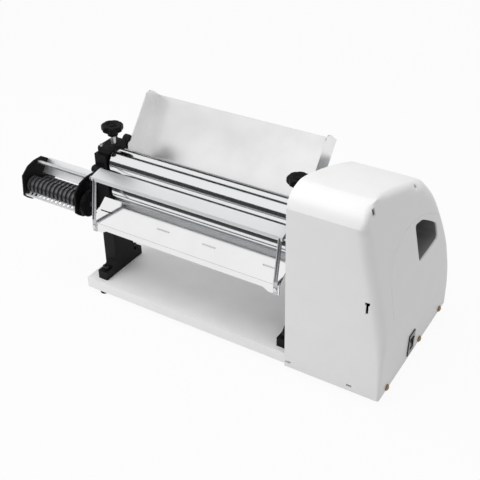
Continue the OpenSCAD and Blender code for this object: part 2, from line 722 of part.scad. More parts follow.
// moulded housing with its grip window, key slots and screw holes
key_w = 11;
key_h = 5;
key_rise = 12;
key_shares = [0.04, 0.693];
key_xs = [for (s = key_shares) cover_x0 + s * cover_w];
mark_step = [-35.7, 209];
mark_bar = [9, 6];
mark_stem = [5, 18];
cut_deep = 30;
notch = [6, 8, 12];
notch_places = [[-51.2, 0.062, 0.964], [-46.8, 0.58, 0.867]];
gland_share = 0.638;
gland_x = cover_x0 + gland_share * cover_w;
gland_rise = 39.5;
module housing_cover() color("#ececec") placed() difference() {
    cover_solid(0, cover_x0, 0);
    cover_solid(cover_wall, cover_x0 - eps, eps);
    slab_x(grip_x0, cut_deep + grip_depth) grip_outline(0);
    slab_x(cover_x1 - cut_deep, cut_deep + eps)
        translate([switch_y - switch_body_w / 2, switch_z - switch_body_h / 2])
        square([switch_body_w, switch_body_h]);
    for (x = key_xs) translate([x - key_w / 2, cover_y0 - cut_deep, cover_z0 + key_rise - key_h / 2])
        cube([key_w, cut_deep + cover_wall + eps, key_h]);
    translate([cover_x1 + mark_step[0], cover_y0 - cut_deep, cover_z0 + mark_step[1]]) {
        translate([-mark_bar[0] / 2, 0, 0]) cube([mark_bar[0], cut_deep + eps, mark_bar[1]]);
        translate([-mark_stem[0] / 2, 0, -mark_stem[1]]) cube([mark_stem[0], cut_deep + eps, mark_stem[1]]);
    }
    for (p = notch_places)
        translate([cover_x1 + p[0] - notch[0] / 2, cover_y0 + p[1] * cover_d - notch[1] / 2,
            cover_z0 + p[2] * cover_h - notch[2] / 2]) cube(notch);
    for (y = cover_screw_ys) rod_x(cover_x1 - cover_wall - eps, cover_wall + 2 * eps, [y, cover_screw_z], screw_d);
    translate([gland_x, cover_y1 + eps, cover_z0 + gland_rise]) rotate([90, 0, 0])
        cylinder(d = gland_d, h = cover_wall + 2 * eps);
}

// screws of the housing, drawn with their washers as one piece
screw_l = 9;
screw_nut_t = 4;
module cover_screws() color("#a07c4e") placed() for (y = cover_screw_ys) {
    rod_x(cover_x1 - screw_l, screw_l, [y, cover_screw_z], screw_d);
    rod_x(pan_x1 - pan_t - screw_nut_t, screw_nut_t, [y, cover_screw_z], 2 * screw_d);
    turned_x(cover_x1, [y, cover_screw_z]) polygon([[0, 0], [screw_head_d / 2, 0],
        [screw_head_d / 2, screw_head_h / 2], [screw_head_d / 4, screw_head_h], [0, screw_head_h]]);
}

// grip pocket set in the window, open towards the motor along its front part
grip_vent = [5, 14, 46];
grip_vent_ys = [36, 56, 76];
module side_grip() color("#dcdcdc") placed() difference() {
    slab_x(grip_x0, 2 * grip_depth) grip_outline(grip_wall);
    slab_x(grip_x0 + grip_wall, 2 * grip_depth) grip_outline(0);
    for (y = grip_vent_ys) translate([grip_x0 - eps, grip_y0 + y, grip_z0 + grip_vent[0] + grip_wall])
        cube([grip_wall + 2 * eps, grip_vent[1], grip_vent[2]]);
    lean_run = cover_h * cover_lean_share;
    wall_x = cover_x1 - cover_wall;
    translate([0, grip_y0 - 2 * grip_wall, 0]) rotate([90, 0, 0]) mirror([0, 0, 1])
        linear_extrude(grip_w + 4 * grip_wall) polygon([[wall_x, lean_z], [wall_x + cover_h, lean_z],
            [wall_x + cover_h, lean_z + cover_h], [wall_x - lean_run, lean_z + cover_h]]);
}

// mains switch: frame with a bezel, and a rocker on two stub pivots
rocker_play = 0.5;
pivot_d = 3;
pivot_l = 2.5;
frame_floor = 8;
rocker_tilt = 8;
pivot_inset = 2;
pivot_x = cover_x1 - pivot_inset;
rocker_ease = 1.2;
rocker_toe = 0.6;
module switch_frame() color("#222222") placed() difference() {
    union() {
        slab_x(cover_x1 - switch_body_l, switch_body_l)
            translate([switch_y - switch_body_w / 2, switch_z - switch_body_h / 2])
            square([switch_body_w, switch_body_h]);
        slab_x(cover_x1, bezel_t) translate([switch_y - switch_w / 2, switch_z - switch_h / 2])
            square([switch_w, switch_h]);
    }
    translate([cover_x1 - switch_body_l + frame_floor, switch_y - rocker_w / 2 - rocker_play,
        switch_z - rocker_l / 2 - rocker_play])
        cube([switch_body_l, rocker_w + 2 * rocker_play, rocker_l + 2 * rocker_play]);
    translate([pivot_x, switch_y - rocker_w / 2 - pivot_l - rocker_play, switch_z]) rotate([-90, 0, 0])
        cylinder(d = pivot_d + 2 * run_fit, h = rocker_w + 2 * pivot_l + 2 * rocker_play);
}
rocker_proud = 5;
rocker_dip = 2.5;
module rocker() color("#2c2c2c") placed() translate([pivot_x, switch_y, switch_z]) rotate([0, rocker_tilt, 0]) {
    half = rocker_l / 2 - rocker_ease;
    translate([0, rocker_w / 2, 0]) rotate([90, 0, 0]) linear_extrude(rocker_w)
        polygon([[-rocker_proud, -rocker_proud], [0, -half - rocker_toe], [rocker_proud, -half],
            [rocker_dip, 0], [rocker_proud, half], [0, half + rocker_toe], [-rocker_proud, rocker_proud]]);
    translate([0, -rocker_w / 2 - pivot_l, 0]) rotate([-90, 0, 0]) cylinder(d = pivot_d, h = rocker_w + 2 * pivot_l);
}

// cable gland in the rear wall, with its bore for a supply lead
gland_bore = 8;
gland_nut_d = 24;
gland_nut_t = 5;
gland_flange_t = 5;
gland_dome_inset = 2;
module cable_gland() color("#202020") placed() translate([gland_x, cover_y1, cover_z0 + gland_rise])
    rotate([-90, 0, 0]) difference() {
        union() {
            translate([0, 0, -cover_wall - gland_nut_t]) cylinder(d = gland_d, h = cover_wall + gland_nut_t + gland_flange_t);
            translate([0, 0, -cover_wall - gland_nut_t]) cylinder(d = gland_nut_d, h = gland_nut_t, $fn = 6);
            cylinder(d = gland_nut_d, h = gland_flange_t, $fn = 6);
            translate([0, 0, gland_flange_t]) cylinder(d1 = gland_nut_d - gland_dome_inset, d2 = gland_d, h = gland_l - gland_flange_t);
        }
        translate([0, 0, -cover_wall - gland_nut_t - eps])
            cylinder(d = gland_bore, h = cover_wall + gland_nut_t + gland_l + 2 * eps);
    }

// gear motor on its bracket
bracket_foot = 42;
bracket_side = 52;
bracket_reach = 30;
module motor_bracket() color("#8f9296") placed() {
    difference() {
        slab_x(bracket_x0, bracket_t) polygon([[motor_pos[0] - bracket_side, pan_z],
            [motor_pos[0] + bracket_side, pan_z], [motor_pos[0] + bracket_side, motor_pos[1]],
            [pinion_pos[0] + bracket_reach, pinion_pos[1] + bracket_reach],
            [pinion_pos[0] - bracket_reach, pinion_pos[1] + bracket_reach],
            [pinion_pos[0] - bracket_reach, pinion_pos[1] - bracket_reach],
            [motor_pos[0] - bracket_side, motor_pos[1]]]);
        rod_x(bracket_x0 - eps, bracket_t + 2 * eps, pinion_pos, output_d + 2 * slip);
    }
    translate([bracket_x0, motor_pos[0] - bracket_side, pan_z]) cube([bracket_foot, 2 * bracket_side, bracket_t]);
}
gearbox_round = 30;
module gearbox() color("#77797c") placed() difference() {
    span = motor_pos - pinion_pos;
    side = [-span[1], span[0]] / norm(span);
    slab_x(gearbox_x0, gearbox_w) {
        translate(pinion_pos) circle(r = gearbox_round);
        translate(motor_pos) circle(r = motor_d / 2 + gearbox_over);
        polygon([pinion_pos + side * gearbox_round, pinion_pos - side * gearbox_round,
            motor_pos - side * motor_d / 2, motor_pos + side * motor_d / 2]);
    }
    rod_x(gearbox_x0 - eps, output_deep + eps, pinion_pos, output_d + 2 * run_fit);
}
module motor_body() color("#5d6064") placed() rod_x(motor_x0, motor_l, motor_pos, motor_d);
cap_taper = 6;
module motor_end_cap() color("#46484b") placed() turned_x(motor_x0 + motor_l, motor_pos)
    polygon([[0, 0], [motor_d / 2 - cap_taper / 2, 0], [motor_d / 2 - cap_taper / 2, end_cap_l - cap_taper],
        [motor_d / 2 - 2 * cap_taper, end_cap_l], [0, end_cap_l]]);

// run capacitor in its clip, and the terminals behind the gland
capacitor_l = 80;
capacitor_x0 = 42;
clip_w = 24;
module capacitor() color("#2a2a2c") placed() {
    y = cover_y1 - capacitor_back;
    rod_x(capacitor_x0, capacitor_l, [y, pan_z + capacitor_d / 2 + bracket_t], capacitor_d);
    translate([capacitor_x0 + clip_w, y - clip_w / 2, pan_z]) cube([clip_w, clip_w, capacitor_d / 2]);
}
terminal_size = [40, 22, 18];
terminal_gap = 6;
terminal_y = cover_y1 - capacitor_back - capacitor_d / 2 - terminal_gap - terminal_size[1];
module terminal_block() color("#e8e4d8") placed()
    translate([gland_x - terminal_size[0] / 2, terminal_y, pan_z]) cube(terminal_size);

// upper bearing blocks, which slide in the stands' slots
pocket_h = 3;
module bearing_blocks() color("#2b2b2e") placed() both_ends() difference() {
    slab_x(-block_over, stand_t + block_over) translate([roller_y - block_w / 2, block_z0])
        square([block_w, block_h]);
    rod_x(-block_over - eps, stand_t + block_over + 2 * eps, [roller_y, upper_z], bush_d);
    for (side = [-1, 1]) translate([stand_t / 2 - rib_w / 2 - slip,
        roller_y + side * block_w / 2 - rib_d, block_z0 - eps])
        cube([rib_w + 2 * slip, 2 * rib_d, block_h + 2 * eps]);
    translate([spindle_inset, roller_y, block_z1 - pocket_h])
        cylinder(d = spindle_d + 2 * run_fit, h = pocket_h + eps);
}
module upper_bushes() color("#b08d4a") placed() both_ends() turned_x(-block_over, [roller_y, upper_z])
    polygon([[journal_d / 2 + run_fit, 0], [bush_d / 2, 0], [bush_d / 2, stand_t + block_over],
        [journal_d / 2 + run_fit, stand_t + block_over]]);

// springs that lift the upper bearing blocks
spring_r = 3.6;
wire_d = 1.8;
spring_curls = 4;
spring_y = 12;
seat_t = 1.2;
curl_steps = 8;
wire_sides = 6;
module spring() {
    steps = spring_curls * curl_steps;
    low = slot_z0 + seat_t;
    rise = block_z0 - slot_z0 - 2 * seat_t;
    rings = [for (i = [0 : steps]) let(a = 360 * i / curl_steps)
        [for (k = [0 : wire_sides - 1]) let(b = -360 * k / wire_sides, r = spring_r + wire_d / 2 * cos(b))
            [r * cos(a), r * sin(a), low + rise * i / steps + wire_d / 2 * sin(b)]]];
    skin(rings);
    for (z = [slot_z0, block_z0 - seat_t]) translate([0, 0, z]) difference() {
        cylinder(r = spring_r + wire_d / 2, h = seat_t, $fn = 24);
        translate([0, 0, -eps]) cylinder(r = spring_r - wire_d / 2, h = seat_t + 2 * eps, $fn = 24);
    }
}
module gap_springs() color("#b9bcc0") placed() both_ends() for (side = [-1, 1])
    translate([stand_t / 2, roller_y + side * spring_y, 0]) spring();

// rollers, each turned in one piece with its journals
roll_x0 = left_in_x + block_over + end_gap;
roll_x1 = -block_over - end_gap;
roll_ease = 0.8;
module roller(x0, x1, z) {
    r = roller_d / 2;
    j = journal_d / 2;
    turned_x(0, [roller_y, z]) polygon([[0, x0], [j, x0], [j, roll_x0], [r - roll_ease, roll_x0],
        [r, roll_x0 + roll_ease], [r, roll_x1 - roll_ease], [r - roll_ease, roll_x1], [j, roll_x1],
        [j, x1], [0, x1]]);
}
upper_over = 3;
module upper_roller() color("#d9dce0") placed() roller(left_out_x - upper_over, upper_shaft_end, upper_z);
module lower_roller() color("#d9dce0") placed() roller(transfer_x - shaft_over, lower_shaft_end, lower_z);

// gear train of the rollers
roller_module = axis_gap / roller_teeth;
half_pitch = 180 / roller_teeth;
module upper_gear() color("#85888c") placed()
    gear(gear_x0, roller_gear_w, [roller_y, upper_z], roller_teeth, roller_module, 270 + half_pitch, journal_d);
module lower_gear() color("#85888c") placed()
    gear(gear_x0, roller_gear_w, [roller_y, lower_z], roller_teeth, roller_module, 90, journal_d);
module drive_gear() color("#85888c") placed()
    gear(drive_x0, drive_w, [roller_y, lower_z], drive_teeth, drive_module, drive_angle, journal_d);
module transfer_gear() color("#85888c") placed()
    gear(transfer_x, gear_w, [roller_y, lower_z], transfer_teeth, transfer_module,
        transfer_angle + 180 / transfer_teeth, journal_d);
module pinion() color("#85888c") placed() {
    gear(drive_x0, drive_w, pinion_pos, pinion_teeth, drive_module,
        drive_angle + 180 + 180 / pinion_teeth, output_d - eps);
    rod_x(drive_x0, gearbox_x0 + output_deep - drive_x0, pinion_pos, output_d);
}

// gap spindles and their star knobs
knob_z = bridge_z1 + spindle_show;
spindle_z0 = block_z1 - pocket_h + slip;
knob_bore = 9;
module spindle(x) {
    translate([x, roller_y, spindle_z0]) cylinder(d = spindle_d, h = knob_z + knob_bore - spindle_z0);
}
lobe_share = 0.16;
lobe_steps = 8;
neck_r = 10.5;
disc_rise = 11;
knob_dish = 2.5;
knob_boss_r = 5;
module knob(x) {
    r = knob_d / 2;
    n = knob_lobes * lobe_steps;
    translate([x, roller_y, knob_z]) difference() {
        intersection() {
            linear_extrude(knob_h) polygon([for (i = [0 : n - 1]) let(a = 360 * i / n,
                q = r * (1 - lobe_share * (1 - cos(knob_lobes * a)) / 2)) [q * cos(a), q * sin(a)]]);
            rotate_extrude() polygon([[0, 0], [neck_r - eps, 0], [neck_r, eps], [neck_r, disc_rise - knob_dish],
                [r - knob_dish, disc_rise], [r, disc_rise + knob_dish], [r, knob_h - knob_dish],
                [r - knob_dish, knob_h], [neck_r + knob_dish, knob_h], [neck_r, knob_h - knob_dish],
                [knob_boss_r, knob_h - knob_dish], [knob_boss_r, knob_h - eps], [0, knob_h - eps]]);
        }
        translate([0, 0, -eps]) cylinder(d = spindle_d, h = knob_bore + eps);
    }
}
module left_spindle() color("#c8cbce") placed() spindle(left_spindle_x);
module right_spindle() color("#c8cbce") placed() spindle(right_spindle_x);
module left_knob() color("#26262a") placed() knob(left_spindle_x);
module right_knob() color("#26262a") placed() knob(right_spindle_x);

// finger guard: a folded sheet on two hinge ears
guard_rise = 6;
lip_h = 7;
ear_r = 6.5;
guard_top = [hinge_y - sheet_t, hinge_z + guard_rise];
guard_edge = [guard_front + sheet_t / 2, hinge_z];
module guard_plate() color("#e6e8ea") placed() difference() {
    union() {
        slab_x(guard_x0, guard_x1 - guard_x0)
            bent_strip([guard_top, guard_edge, guard_edge - [0, lip_h]], sheet_t);
        for (x = [guard_x0, guard_x1 - ear_t]) slab_x(x, ear_t) {
            translate([hinge_y, hinge_z]) circle(r = ear_r);
            polygon([guard_top, guard_edge, guard_edge - [0, lip_h], guard_edge + [lip_h, -lip_h],
                [hinge_y, hinge_z - ear_r]]);
        }
    }
    for (x = [guard_x0, guard_x1 - ear_t]) rod_x(x - eps, ear_t + 2 * eps, [hinge_y, hinge_z], hinge_pin_d + 2 * run_fit);
    for (x = rod_xs) lean_rod(x);
}

// chute: slotted sloping face with a folded apron that ends in an ear at each side
chute_over = [0.4, 1.5];
chute_x0 = guard_x0 - chute_over[0];
chute_x1 = guard_x1 + chute_over[1];
chute_gap = 2.3;
chute_y = stand_y0 - chute_gap - chute_run;
bend_drop = 48.5;
bend_z = lower_z - bend_drop;
chute_bend = [chute_y, bend_z];
chute_top = chute_bend + [chute_run, chute_rise];
chute_foot = chute_bend - [0, apron_h];
slot_shares = [0, 0.37, 0.65, 1];
slot_l = 30;
slot_h = 3;
slot_insets = [20, 32];
slot_run = chute_x1 - chute_x0 - slot_insets[0] - slot_insets[1];
slot_place_share = 0.5;
ear_screw_d = 4;
tail_t = 2;
rod_rise = 9;
rod_end = [chute_y - sheet_t / 2 - tail_t / 2, bend_z + rod_rise];
rod_top = [guard_front + rod_d / 2, hinge_z - sheet_t];
rod_lean = atan2(rod_top[0] - rod_end[0], rod_top[1] - rod_end[1]);
module lean_rod(x) translate([x, rod_end[0], rod_end[1]]) rotate([-rod_lean, 0, 0])
    cylinder(d = rod_d, h = norm(rod_top - rod_end));
ear_screw_drop = 8;
ear_screw_z = bend_z - ear_screw_drop;
apron_lift = 7;
ear_w = 22;
ear_slant = 12;
module chute() color("#e6e8ea") placed() difference() {
    slab_x(chute_x0, chute_x1 - chute_x0) bent_strip([chute_top, chute_bend, chute_foot], sheet_t);
    for (s = slot_shares)
        translate([chute_x0 + slot_insets[0] + s * slot_run - slot_l / 2, chute_y, bend_z])
            rotate([atan2(chute_rise, chute_run), 0, 0])
            translate([0, slot_place_share * norm(chute_top - chute_bend) - slot_h / 2, -sheet_t])
            cube([slot_l, slot_h, 2 * sheet_t]);
    for (x = rod_xs) translate([x, chute_y - sheet_t, ear_screw_z]) rotate([-90, 0, 0])
        cylinder(d = ear_screw_d, h = 2 * sheet_t);
    translate([0, chute_y + sheet_t, chute_foot[1]]) rotate([90, 0, 0]) linear_extrude(2 * sheet_t)
        polygon([[chute_x0 + ear_w, -eps], [chute_x0 + ear_w, 0], [chute_x0 + ear_w + ear_slant, apron_lift],
            [chute_x1 - ear_w - ear_slant, apron_lift], [chute_x1 - ear_w, 0], [chute_x1 - ear_w, -eps]]);
}

// leaning rods with flattened tails against the apron
module guard_rods() color("#d9dce0") placed() for (x = rod_xs) difference() {
    union() {
        lean_rod(x);
        translate([x - rod_d / 2, chute_y - sheet_t / 2 - tail_t, chute_foot[1]])
            cube([rod_d, tail_t, rod_end[1] + rod_d / 4 - chute_foot[1]]);
    }
    translate([x, chute_y - 2 * sheet_t, ear_screw_z]) rotate([-90, 0, 0]) cylinder(d = ear_screw_d, h = 4 * sheet_t);
}
ear_head_h = 2.4;
ear_nut_t = 3;
module chute_screws() color("silver") placed() for (x = rod_xs)
    translate([x, chute_y - sheet_t / 2 - tail_t, ear_screw_z]) rotate([-90, 0, 0]) {
        translate([0, 0, -ear_head_h]) cylinder(d = 2 * ear_screw_d, h = ear_head_h);
        cylinder(d = ear_screw_d, h = tail_t + sheet_t + ear_nut_t);
        translate([0, 0, tail_t + sheet_t]) cylinder(d = 2 * ear_screw_d, h = ear_nut_t, $fn = 6);
    }

// feed hopper: a folded back plate between two cheeks
lip_step = [-10, -30];
knee_step = [43, -20];
hopper_lip = [stand_y1, upper_z] + lip_step;
hopper_knee = [stand_y1, upper_z] + knee_step;
cheek_ease = 22;
stud_tab_r = 7;
cheek_cut_drop = 36.5;
module cheek_profile() {
    top = hopper_foot + hopper_dir * hopper_l;
    front = hopper_norm * cheek_w;
    ease = hopper_dir * cheek_ease;
    difference() {
        union() {
            polygon(concat([hopper_knee, hopper_foot, top, top + front - hopper_norm * cheek_ease],
                [for (k = [0 : ease_steps]) let(t = k / ease_steps, p = top + front)
                    (1 - t) * (1 - t) * (p - hopper_norm * cheek_ease) + 2 * t * (1 - t) * p + t * t * (p - ease)],
                [hopper_foot + front, hopper_foot + front - hopper_dir * stud_tab_r]));
            translate(stud_pos) circle(r = stud_tab_r);
        }
        translate([stand_y0, lower_z - cheek_cut_drop]) square([stand_w + slip, prong_z]);
    }
}
module hopper() color("#e6e8ea") placed() {
    top = hopper_foot + hopper_dir * hopper_l;
    slab_x(hopper_x0, hopper_x1 - hopper_x0)
        bent_strip([hopper_lip, hopper_knee, hopper_foot, top], sheet_t);
    for (x = [hopper_x0, hopper_x1 - sheet_t]) slab_x(x, sheet_t) cheek_profile();
}
module hopper_studs() color("silver") placed() both_ends()
    rod_x(-hopper_play, hopper_play + horn_t, stud_pos, stud_d);

// strip cutter: end plates, rods and combs
plate_corners = [[-66.7, -53.5], [-62.2, -8.5], [-43.2, 6.5], [-24.2, 11.5], [-0.2, 11.5], [15.8, 0.5],
    [31.8, -21.5], [31.8, -51.5], [15.8, -74.5], [-23.2, -76.5], [-46.2, -71.5], [-58.2, -62.5]];
module cutter_plate(x) {
    difference() {
        slab_x(x, cutter_plate_t) polygon([for (s = plate_corners) [roller_y, lower_z] + s]);
        for (p = [front_cut, rear_cut]) rod_x(x - eps, cutter_plate_t + 2 * eps, p, cutter_shaft_d + 2 * run_fit);
        for (p = [tie_high, tie_back]) rod_x(x - eps, cutter_plate_t + 2 * eps, p, tie_d);
    }
}
module cutter_plate_left() color("#1d1d1f") placed() cutter_plate(cutter_end_x);
module cutter_plate_right() color("#1d1d1f") placed() difference() {
    cutter_plate(cutter_x1);
    for (p = [dock_low, dock_high]) rod_x(cutter_x1 - eps, cutter_plate_t + 2 * eps, p, dock_d + 2 * run_fit);
}
tie_head_d = 12;
tie_head_t = 4;
module cutter_tie_rods() color("silver") placed() for (p = [tie_high, tie_back]) {
    rod_x(cutter_end_x, cutter_x2 - cutter_end_x, p, tie_d);
    for (x = [cutter_end_x - tie_head_t, cutter_x2]) rod_x(x, tie_head_t, p, tie_head_d);
}
comb_bar = [4, 4];
tooth_w = 4.6;
tooth_t = 1.5;
tooth_reach = 14.5;
comb_front_step = [-62.2, -51.5];
comb_rear_step = [15.8, -66.5];
module comb(pos, axis, count, x_first) {
    reach = norm(axis - pos) - tooth_reach;
    turn = atan2(axis[1] - pos[1], axis[0] - pos[0]);
    translate([0, pos[0], pos[1]]) {
        slab_x(cutter_x0, cutter_l) rotate(turn) square(comb_bar, center = true);
        for (i = [0 : count - 1]) slab_x(x_first + i * ring_pitch - tooth_w / 2, tooth_w)
            rotate(turn) translate([0, -tooth_t / 2]) square([reach, tooth_t]);
    }
}
front_x = cutter_x0 + end_play;
rear_x = front_x + ring_pitch / 2;
gap_mid = (ring_pitch + ring_w) / 2;
module front_comb() color("#dfe2e5") placed()
    comb([roller_y, lower_z] + comb_front_step, front_cut, ring_count - 1, front_x + gap_mid);
module rear_comb() color("#dfe2e5") placed()
    comb([roller_y, lower_z] + comb_rear_step, rear_cut, ring_count - 2, rear_x + gap_mid);
feed_top_step = [19.8, -0.5];
feed_low_step = [-4.2, -26.5];
feed_t = 1.5;
module feed_plate() color("#dfe2e5") placed() slab_x(cutter_x0, cutter_l)
    bent_strip([[roller_y, lower_z] + feed_top_step, [roller_y, lower_z] + feed_low_step], feed_t);

// cutting shafts: rings on a core, each turned in one piece
function ring_profile(x, count, x_end) = concat([[core_d / 2, front_x]],
    [for (i = [0 : count - 1], k = [0 : 3]) let(a = x + i * ring_pitch + (k < 2 ? 0 : ring_w))
        [k == 0 || k == 3 ? core_d / 2 : ring_d / 2, a]],
    [[core_d / 2, x_end]]);
module cutting_shaft(pos, x, count, shaft_end) {
    core_end = cutter_x1 - end_play;
    turned_x(0, pos) polygon(concat([[0, total_x0], [cutter_shaft_d / 2, total_x0], [cutter_shaft_d / 2, front_x]],
        ring_profile(x, count, core_end),
        [[cutter_shaft_d / 2, core_end], [cutter_shaft_d / 2, shaft_end], [0, shaft_end]]));
}
module front_cutter() color("#3a3b3d") placed()
    cutting_shaft(front_cut, front_x, ring_count, transfer_x + gear_w + shaft_over);
module rear_cutter() color("#3a3b3d") placed()
    cutting_shaft(rear_cut, rear_x, ring_count - 1, pair_x + gear_w + shaft_over);
module front_cutter_gears() color("#85888c") placed() {
    gear(pair_x, gear_w, front_cut, pair_teeth, pair_module, pair_angle, cutter_shaft_d);
    gear(transfer_x, gear_w, front_cut, transfer_teeth, transfer_module, transfer_angle - 180, cutter_shaft_d);
    translate([0, front_cut[0], front_cut[1]]) slab_x(pair_x + gear_w, gear_play) difference() {
        circle(d = 2 * cutter_shaft_d);
        circle(d = cutter_shaft_d);
    }
}
module rear_cutter_gear() color("#85888c") placed()
    gear(pair_x, gear_w, rear_cut, pair_teeth, pair_module, pair_angle + 180 + 180 / pair_teeth, cutter_shaft_d);

base_pan();
rubber_feet();
left_stand();
right_stand();
stand_bolts();
tie_bars();
bridges();
bridge_screws();
lower_bushes();
lower_scraper();
hinge_pins();
dock_pins();
drive_plate();
housing_cover();
cover_screws();
side_grip();
switch_frame();
cable_gland();
motor_bracket();
gearbox();
motor_body();
motor_end_cap();
capacitor();
terminal_block();
bearing_blocks();
upper_bushes();
gap_springs();
upper_roller();
upper_gear();
lower_roller();
lower_gear();
drive_gear();
transfer_gear();
pinion();
left_spindle();
left_knob();
right_spindle();
right_knob();
guard_plate();
guard_rods();
chute();
chute_screws();
hopper();
hopper_studs();
rocker();
cutter_plate_left();
cutter_plate_right();
cutter_tie_rods();
front_comb();
rear_comb();
feed_plate();
front_cutter();
front_cutter_gears();
rear_cutter();
rear_cutter_gear();
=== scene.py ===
"""Looks of an electric pasta maker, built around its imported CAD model."""
import json
import math

import bpy
from bpy.props import FloatProperty, FloatVectorProperty, IntProperty, PointerProperty
from mathutils import Matrix, Vector


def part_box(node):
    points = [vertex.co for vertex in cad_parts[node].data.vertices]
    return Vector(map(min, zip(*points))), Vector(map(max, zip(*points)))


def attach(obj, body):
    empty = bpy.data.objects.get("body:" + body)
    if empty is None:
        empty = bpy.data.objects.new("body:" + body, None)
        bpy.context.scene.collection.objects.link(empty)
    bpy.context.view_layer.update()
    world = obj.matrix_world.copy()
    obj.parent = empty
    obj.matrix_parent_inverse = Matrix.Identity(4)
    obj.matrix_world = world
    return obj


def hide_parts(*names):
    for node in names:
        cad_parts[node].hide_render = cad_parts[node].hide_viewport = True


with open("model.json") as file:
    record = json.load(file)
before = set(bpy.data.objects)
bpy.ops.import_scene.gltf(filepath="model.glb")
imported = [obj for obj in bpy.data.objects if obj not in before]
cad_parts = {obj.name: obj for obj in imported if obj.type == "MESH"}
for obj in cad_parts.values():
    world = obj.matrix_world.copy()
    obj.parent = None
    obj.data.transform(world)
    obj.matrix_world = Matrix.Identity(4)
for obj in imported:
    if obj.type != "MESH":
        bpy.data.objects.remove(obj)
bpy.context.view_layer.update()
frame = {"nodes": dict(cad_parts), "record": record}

bl_info = {
    "name": "Electric pasta maker",
    "version": (1, 0, 0),
    "blender": (4, 5, 0),
    "location": "View3D > Sidebar > Pasta maker",
    "description": "Models and finishes the pieces of an electric pasta maker around its CAD frame",
    "category": "Add Mesh",
}

MM = 0.001
SENSOR = 36.0

# the source's datum: zero at the right stand's inner face and at the pan's front
COVER_X0 = 27.5
DATUM = Vector((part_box("housing_cover")[0].x - COVER_X0 * MM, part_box("base_pan")[0].y, 0.0))


def place(x, y, z):
    """A point of the source's datum, given in millimetres, in the frame's metres."""
    return DATUM + Vector((x, y, z)) * MM


# ------------------------------------------------------------------ finishes
# colour, metallic share, roughness, mottle (share of the lightness), spot (size of the mottle),
# grain (size), depth (of the grain), stretch of the grain along X, Y, Z and ior; sizes in mm
TINT_LOW, TINT_HIGH = 0.3, 0.7
GLOSS_SPREAD = 0.12
FINISHES = {
    "cover_white": dict(color=(0.82, 0.82, 0.82), rough=0.42, mottle=0.012, spot=60, grain=0.9,
                        depth=0.012),
    "pan_coat": dict(color=(0.87, 0.87, 0.875), rough=0.48, mottle=0.02, spot=45, grain=1.2, depth=0.02),
    "black_casting": dict(color=(0.0075, 0.0075, 0.008), rough=0.45, mottle=0.25, spot=14, grain=1.6,
                          depth=0.08, ior=1.22),
    "knob_black": dict(color=(0.006, 0.006, 0.007), rough=0.36, mottle=0.15, spot=9, grain=0.8,
                       depth=0.012, ior=1.22),
    "switch_black": dict(color=(0.005, 0.005, 0.006), rough=0.42, mottle=0.1, spot=8, grain=0.6,
                         depth=0.008, ior=1.2),
    "foot_rubber": dict(color=(0.012, 0.012, 0.012), rough=0.75, mottle=0.2, spot=6, grain=0.5,
                        depth=0.02, ior=1.3),
    "roller_chrome": dict(color=(0.88, 0.88, 0.885), metal=1.0, rough=0.06, mottle=0.03, spot=30,
                          grain=0.5, depth=0.0006, stretch=(1, 0.02, 0.02)),
    "sheet_steel": dict(color=(0.84, 0.84, 0.845), metal=1.0, rough=0.13, mottle=0.02, spot=50,
                        grain=0.35, depth=0.0012, stretch=(0.02, 1, 1)),
    "chute_steel": dict(color=(0.84, 0.84, 0.845), metal=1.0, rough=0.075, mottle=0.02, spot=50,
                        grain=0.35, depth=0.0008, stretch=(0.02, 1, 1)),
    "hopper_steel": dict(color=(0.81, 0.81, 0.815), metal=1.0, rough=0.29, mottle=0.1, spot=130,
                         grain=9, depth=0.05, stretch=(1, 0.12, 0.12)),
    "bar_steel": dict(color=(0.84, 0.845, 0.85), metal=1.0, rough=0.16, mottle=0.03, spot=12,
                      grain=0.4, depth=0.002),
    "bolt_zinc": dict(color=(0.76, 0.77, 0.79), metal=1.0, rough=0.26, mottle=0.06, spot=5, grain=0.5,
                      depth=0.004),
    "bush_bronze": dict(color=(0.52, 0.36, 0.17), metal=1.0, rough=0.36, mottle=0.08, spot=6, grain=0.5,
                        depth=0.006),
    # stand bolts: the dark colour of black socket screws, and painted shade of the counterbores in the
    # lugs, as the heads stand on the lugs instead of sunk in them
    "black_bolt_and_sunk_shade": dict(color=(0.05, 0.05, 0.052), metal=0.9, rough=0.34, mottle=0.1, spot=5, grain=0.5,
                       depth=0.004),
    "gear_black": dict(color=(0.012, 0.012, 0.013), metal=0.3, rough=0.4, mottle=0.15, spot=7, grain=0.6,
                       depth=0.006, ior=1.25),
    "screw_brass": dict(color=(0.28, 0.185, 0.095), metal=0.85, rough=0.45, mottle=0.14, spot=4,
                        grain=0.5, depth=0.01),
    "gear_steel": dict(color=(0.22, 0.225, 0.23), metal=0.9, rough=0.38, mottle=0.08, spot=7, grain=0.6,
                       depth=0.006),
    "ring_steel": dict(color=(0.11, 0.112, 0.118), metal=0.6, rough=0.32, mottle=0.12, spot=6,
                       grain=0.5, depth=0.004),
    "spring_wire": dict(color=(0.55, 0.56, 0.58), metal=1.0, rough=0.28, mottle=0.05, spot=3, grain=0.4,
                        depth=0.003),
    "plate_paint": dict(color=(0.36, 0.37, 0.38), rough=0.5, mottle=0.06, spot=25, grain=1.1,
                        depth=0.02),
    "grip_grey": dict(color=(0.20, 0.20, 0.205), rough=0.5, mottle=0.03, spot=20, grain=0.8,
                      depth=0.015),
    "gearbox_iron": dict(color=(0.16, 0.16, 0.165), metal=0.4, rough=0.62, mottle=0.15, spot=12,
                         grain=1.5, depth=0.08),
    "motor_paint": dict(color=(0.06, 0.065, 0.07), rough=0.4, mottle=0.08, spot=18, grain=1.0,
                        depth=0.02),
    "terminal_nylon": dict(color=(0.72, 0.69, 0.60), rough=0.5, mottle=0.04, spot=10, grain=0.8,
                           depth=0.01),
}

